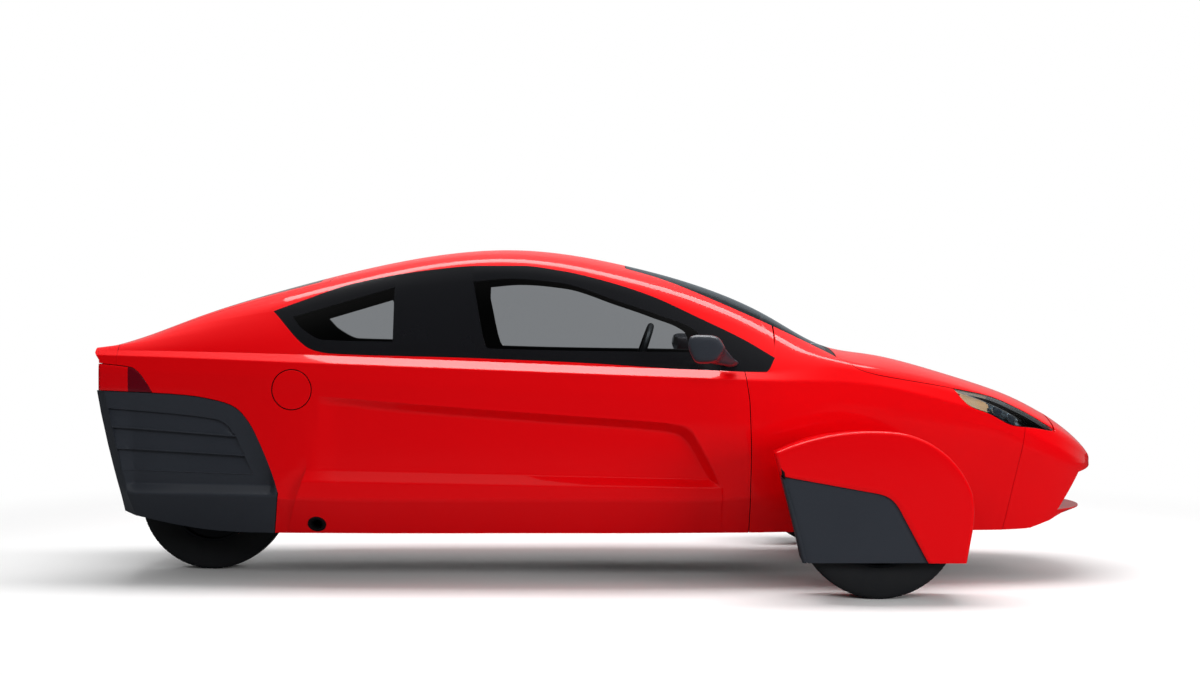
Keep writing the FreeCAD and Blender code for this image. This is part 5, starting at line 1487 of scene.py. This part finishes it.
# Stations along the arm and head: share of the reach, middle x, middle z, half length, half height.
mirror = {"root": 532.5, "reach": 150, "count": 44, "round": 0.32, "cornerPoints": 7,
          "armShares": (-0.3, 0.9, 26), "endShares": (0.92, 1.0, 7), "tipShare": 1.005,
          "stations": [(-0.3, 503, 902, 36, 15), (0.0, 500, 905, 34, 14), (0.2, 484, 911, 36, 16),
                       (0.34, 448, 932, 50, 30), (0.44, 416, 952, 64, 46), (0.7, 398, 961, 78, 58),
                       (0.9, 393, 964, 75, 55), (0.97, 394, 964, 66, 47), (1.0, 396, 963, 48, 34),
                       (1.005, 396, 963, 0, 0)],
          "corners": [(-0.62, -1), (0.5, -0.95), (1, 0.0), (0.55, 0.95), (-0.85, 1), (-1, 0.1)],
          "glassBehind": 345, "glassFrom": -667, "glassTo": -604, "glassMiddle": 962,
          "glassHalf": 42}
corners = np.array(mirror["corners"])
bend = []
for corner, before, after in zip(corners, np.roll(corners, 1, axis=0),
                                 np.roll(corners, -1, axis=0)):
    a, b = corner + (before - corner) * mirror["round"], corner + (after - corner) * mirror["round"]
    bend += [bent(a, corner, b, t) for t in np.linspace(0, 1, mirror["cornerPoints"])]
mirrorRing = evenly(np.array(bend + bend[:1]), mirror["count"] + 1)
stations = np.array(mirror["stations"], float)
share = np.concatenate([np.linspace(*mirror["armShares"]), np.linspace(*mirror["endShares"]),
                        [mirror["tipShare"]]])
middleX, middleZ, halfX, halfZ = (np.interp(share, stations[:, 0], stations[:, k])
                                  for k in range(1, 5))
mirrorGrid = np.dstack([middleX[:, None] + halfX[:, None] * mirrorRing[:, 0],
                        -(mirror["root"] + mirror["reach"] * share)[:, None] + 0 * mirrorRing[:, 0],
                        middleZ[:, None] + halfZ[:, None] * mirrorRing[:, 1]])
mirrorPoints, mirrorFaces = joined([mirrorGrid])
mirrorX, mirrorY, mirrorZ = mirrorPoints[mirrorFaces].mean(1).T
mirrorRise = np.abs(mirrorZ - mirror["glassMiddle"])
behindFace = ((mirrorX < mirror["glassBehind"]) & (mirrorY > mirror["glassFrom"]) &
              (mirrorY < mirror["glassTo"]) & (mirrorRise < mirror["glassHalf"]))
for name, body, left in (("mirrorRight", "body", False), ("mirrorLeft", "door", True)):
    points = mirrorPoints * np.array([1, -1 if left else 1, 1])
    piece = meshObject(name, points, mirrorFaces[:, ::-1] if left else mirrorFaces,
                       ["grainedPolypropylene", "silveredMirror"],
                       faceMaterial=behindFace.astype(int))
    soft = piece.modifiers.new("smooth", "SUBSURF")
    soft.levels = soft.render_levels = 1
    place(piece, body, "black_plastic", "mirror_left" if left else "mirror_right")

print("tyres")
# The wall's rings are a share of the half width, and a radius.
tyre = {"radius": 312, "treadHalf": 0.8, "treadPoints": 65, "crownDrop": 3.2,
        "grooves": (-0.5, -0.17, 0.17, 0.5), "grooveHalf": 0.055, "grooveDepth": 7, "blocks": 80,
        "blockDepth": 2.4, "blockGap": 0.17, "blockSlant": 0.6, "blockSpan": (0.56, 0.93),
        "blockAbove": 300, "turns": 480, "crease": 40,
        "wall": [(0.80, 191), (0.86, 200), (0.9, 210), (0.97, 226), (1.0, 248), (0.99, 272),
                 (0.955, 292), (0.9, 303), (0.84, 308)]}
tyres = [("tyreFrontRight", "wheel_front_right", "tyre_front_right", 1052, -725, 67.5),
         ("tyreFrontLeft", "wheel_front_left", "tyre_front_left", 1052, 725, 67.5),
         ("tyreRear", "wheel_rear", "tyre_rear", -1700, 0, 75)]


# A tyre turned about its axle: bead, side wall and shoulder, then a tread whose radius drops in
# four grooves round it and in short slots across both shoulders.
def tyreGrid(x, y, half):
    wall = np.array(tyre["wall"])
    tread = np.linspace(tyre["treadHalf"], -tyre["treadHalf"], tyre["treadPoints"])
    crown = tyre["radius"] - tyre["crownDrop"] * tread ** 2
    groove = np.min(np.abs(tread[:, None] - np.array(tyre["grooves"])), axis=1) < tyre["grooveHalf"]
    across = np.concatenate([wall[:, 0], tread, -wall[::-1, 0]]) * half
    radius = np.concatenate([wall[:, 1], crown - tyre["grooveDepth"] * groove, wall[::-1, 1]])
    turn = np.linspace(0, 2 * math.pi, tyre["turns"] + 1)
    shoulder = np.abs(across / half)[:, None]
    blockFrom, blockTo = tyre["blockSpan"]
    rings = radius[:, None]
    onShoulder = (shoulder > blockFrom) & (shoulder < blockTo) & (rings > tyre["blockAbove"])
    phase = (turn * tyre["blocks"] / (2 * math.pi) + shoulder * tyre["blockSlant"]) % 1
    rings = rings - tyre["blockDepth"] * ((phase < tyre["blockGap"]) & onShoulder)
    return np.dstack([x + rings * np.cos(turn), y + across[:, None] + 0 * turn,
                      tyre["radius"] + rings * np.sin(turn)])


for name, body, node, x, y, half in tyres:
    points, faces = joined([tyreGrid(x, y, half)])
    piece = meshObject(name, points, faces, ["tyreRubber"])
    piece.data.set_sharp_from_angle(angle=math.radians(tyre["crease"]))
    place(piece, body, "tyre_rubber", node)

print("nose")
nose = {"lipTop": 286, "middle": 1719, "lipRound": 332, "thinFrom": 230, "tipShare": 0.1,
        "thinAlong": ([1765, 1896, 2033], [1, 0.55, 0.1]), "fadeFrom": 1860, "fade": 90,
        "fineFrom": 1800, "fineEdge": 24, "crease": 32, "edge": 2.5,
        "edgeAngle": 40}


# Thins the lip under the mouth to a wedge: below its top, each point's drop is multiplied by a
# share that falls from 1 towards the nose, and with the distance from the lip's centre.
def noseLip(points):
    reach = np.hypot(points[:, 0] - nose["middle"], points[:, 1])
    outer = np.interp(reach, [nose["thinFrom"], nose["lipRound"]], [1, nose["tipShare"]])
    along = np.interp(points[:, 0], *nose["thinAlong"])
    fade = np.clip((points[:, 0] - nose["fadeFrom"]) / nose["fade"], 0, 1)
    share = along * (1 - fade) + np.minimum(along, outer) * fade
    drop = np.maximum(nose["lipTop"] - points[:, 2], 0)
    moved = points.copy()
    moved[:, 2] = np.where(points[:, 2] < nose["lipTop"], nose["lipTop"] - drop * share,
                           points[:, 2])
    return moved


noseMesh = nodes["nose_cover"].data.copy()
build = bmesh.new()
build.from_mesh(noseMesh)
bmesh.ops.remove_doubles(build, verts=build.verts, dist=0.02 * mm)
for _ in range(2):
    low = [edge for edge in build.edges if edge.calc_length() > nose["fineEdge"] * mm and all(
        v.co.z < (nose["lipTop"] + 1) * mm and v.co.x > nose["fineFrom"] * mm for v in edge.verts)]
    bmesh.ops.subdivide_edges(build, edges=low, cuts=1)
    bmesh.ops.triangulate(build, faces=[face for face in build.faces if len(face.verts) > 4])
for face in build.faces:
    face.smooth = True
build.to_mesh(noseMesh)
build.free()
nosePoints = np.empty(len(noseMesh.vertices) * 3)
noseMesh.vertices.foreach_get("co", nosePoints)
noseMesh.vertices.foreach_set("co", (noseLip(nosePoints.reshape(-1, 3) / mm) * mm).ravel())
noseMesh.update()
noseMesh.set_sharp_from_angle(angle=math.radians(nose["crease"]))
noseMesh.materials.clear()
noseMesh.materials.append(materials["lacqueredRedPaint"])
noseSkin = bpy.data.objects.new("noseSkin", noseMesh)
scene.collection.objects.link(noseSkin)
soft = noseSkin.modifiers.new("edge", "BEVEL")
soft.width = nose["edge"] * mm
soft.segments = 2
soft.limit_method = "ANGLE"
soft.angle_limit = math.radians(nose["edgeAngle"])
weight = noseSkin.modifiers.new("weight", "WEIGHTED_NORMAL")
weight.keep_sharp = True
place(noseSkin, "body", "red_paint", "nose_cover")

print("seats")
seat = {"cushion": (-205, 0, 352), "cushionHalf": (225, 222, 60), "cushionTilt": 3,
        "back": (-515, 0, 612), "backHalf": (248, 218, 46), "backTilt": 107, "bolster": 132,
        "bolsterRise": 16, "bolsterRamp": 40, "round": 0.34, "rings": 33, "turns": 65, "voxel": 6,
        "pressure": 4.0, "stiffness": 15, "frames": 20, "drawIn": 9, "cap": 22, "fill": 0.7,
        "shift": -670, "channels": (-0.45, -0.1, 0.25), "channelDepth": 5, "channelWidth": 7,
        "shellCrease": 40, "shellPoints": 61, "merge": 0.4, "pressedAbove": 0.4,
        "shell": [(-520, 252), (15, 252), (5, 300), (-420, 300), (-462, 330), (-622, 850),
                  (-630, 846), (-500, 330)],
        "shellAcross": [(-205, 0.96), (-212, 0.985), (-214, 1), (214, 1), (212, 0.985),
                        (205, 0.96)]}


# A closed cushion: a ball's latitude and longitude raised to powers below one, which squares it
# off, with both side strips thickened into bolsters.
def padGrid(half, bolster, rise):
    b = np.linspace(-math.pi / 2, math.pi / 2, seat["rings"])[:, None]
    a = np.linspace(-math.pi, math.pi, seat["turns"])[None, :]
    power = lambda v: np.sign(v) * np.abs(v) ** seat["round"]
    x, y = power(np.cos(b)) * power(np.cos(a)), power(np.cos(b)) * power(np.sin(a))
    z = power(np.sin(b)) + 0 * a
    lift = rise * np.clip((np.abs(y) * half[1] - bolster) / seat["bolsterRamp"], 0, 1) * (z > 0)
    return np.dstack([x * half[0], y * half[1], z * half[2] + lift])


# Points turned about the Y axis, then moved.
def tilted(points, degrees, centre):
    c, s = math.cos(math.radians(degrees)), math.sin(math.radians(degrees))
    return np.stack([c * points[..., 0] + s * points[..., 2], points[..., 1],
                     -s * points[..., 0] + c * points[..., 2]], -1) + np.array(centre)


# The pad swollen by air pressure as cloth for some frames, each point held within a cap.
def inflated(piece):
    voxel = piece.modifiers.new("voxels", "REMESH")
    voxel.mode = "VOXEL"
    voxel.voxel_size = seat["voxel"] * mm
    bakeModifiers(piece)
    start = np.empty(len(piece.data.vertices) * 3)
    piece.data.vertices.foreach_get("co", start)
    cloth = piece.modifiers.new("cloth", "CLOTH")
    cloth.settings.use_pressure = True
    cloth.settings.uniform_pressure_force = seat["pressure"]
    cloth.settings.effector_weights.gravity = 0
    cloth.settings.tension_stiffness = cloth.settings.compression_stiffness = seat["stiffness"]
    for step in range(1, seat["frames"] + 1):
        scene.frame_set(step)
    bakeModifiers(piece)
    scene.frame_set(1)
    end = np.empty_like(start)
    piece.data.vertices.foreach_get("co", end)
    move = (end - start).reshape(-1, 3)
    length = np.maximum(np.linalg.norm(move, axis=1, keepdims=True), 1e-9)
    move *= np.minimum(length, seat["cap"] * mm) / length
    piece.data.vertices.foreach_set("co", start + move.ravel())
    piece.data.update()


# Replaces a piece's mesh by the one its modifiers make.
def bakeModifiers(piece):
    graph = bpy.context.evaluated_depsgraph_get()
    made = bpy.data.meshes.new_from_object(piece.evaluated_get(graph))
    piece.modifiers.clear()
    piece.data = made


# One pad, swollen, with its sewn channels pressed in as narrow bells across and along it.
def pad(name, half, degrees, centre):
    points, faces = joined([padGrid(np.array(half) - seat["drawIn"], seat["bolster"],
                                    seat["bolsterRise"])])
    piece = meshObject(name, points, faces, ["wovenSeatFabric"], merge=seat["merge"])
    inflated(piece)
    flat = np.empty(len(piece.data.vertices) * 3)
    piece.data.vertices.foreach_get("co", flat)
    flat = flat.reshape(-1, 3) / mm
    bell = lambda distance: np.exp(-(distance / seat["channelWidth"]) ** 2)
    press = bell(np.abs(flat[:, 1]) - seat["bolster"])
    for share in seat["channels"]:
        press = np.maximum(press, bell(flat[:, 0] - share * half[0]) *
                           (np.abs(flat[:, 1]) < seat["bolster"]))
    flat[:, 2] -= seat["channelDepth"] * press * (flat[:, 2] > half[2] * seat["pressedAbove"])
    flat = tilted(flat, degrees, centre)
    piece.data.vertices.foreach_set("co", (flat * mm).ravel())
    for polygon in piece.data.polygons:
        polygon.use_smooth = True
    soft = piece.modifiers.new("smooth", "SUBSURF")
    soft.levels = soft.render_levels = 1
    return piece


# The moulded base under the cushion and the shell behind the back: one outline along Y.
def seatFrame(name, shift):
    outline = np.array(seat["shell"]) + np.array([shift, 0])
    ring = evenly(np.concatenate([outline, outline[:1]]), seat["shellPoints"])
    wide, draw = np.array(seat["shellAcross"]).T[..., None]
    middle = ring[:-1].mean(0)
    drawn = middle + (ring - middle) * draw[..., None]
    grid = np.dstack([drawn[..., 0], wide + 0 * ring[:, 0], drawn[..., 1]])
    points, faces = joined([grid])
    piece = meshObject(name, points, faces, ["mouldedBlackPlastic"])
    build = bmesh.new()
    build.from_mesh(piece.data)
    bmesh.ops.holes_fill(build, edges=[edge for edge in build.edges if edge.is_boundary])
    bmesh.ops.recalc_face_normals(build, faces=build.faces)
    build.to_mesh(piece.data)
    build.free()
    piece.data.set_sharp_from_angle(angle=math.radians(seat["shellCrease"]))
    return piece


cushion = pad("driverCushion", seat["cushionHalf"], seat["cushionTilt"], seat["cushion"])
backrest = pad("driverBackrest", seat["backHalf"], seat["backTilt"], seat["back"])
pads = [(cushion, "driver_seat"), (backrest, "driver_seat")]
for source, name in ((cushion, "passengerCushion"), (backrest, "passengerBackrest")):
    other = source.copy()
    other.data = source.data.copy()
    other.name = name
    other.data.transform(Matrix.Translation((seat["shift"] * mm, 0, 0)))
    scene.collection.objects.link(other)
    pads.append((other, "passenger_seat"))
for piece, node in pads:
    place(piece, "body", "seat_fabric", node)
place(seatFrame("driverSeatShell", 0), "body", "black_plastic", "driver_seat")
place(seatFrame("passengerSeatShell", seat["shift"]), "body", "black_plastic", "passenger_seat")

scene.view_settings.view_transform = "Standard"
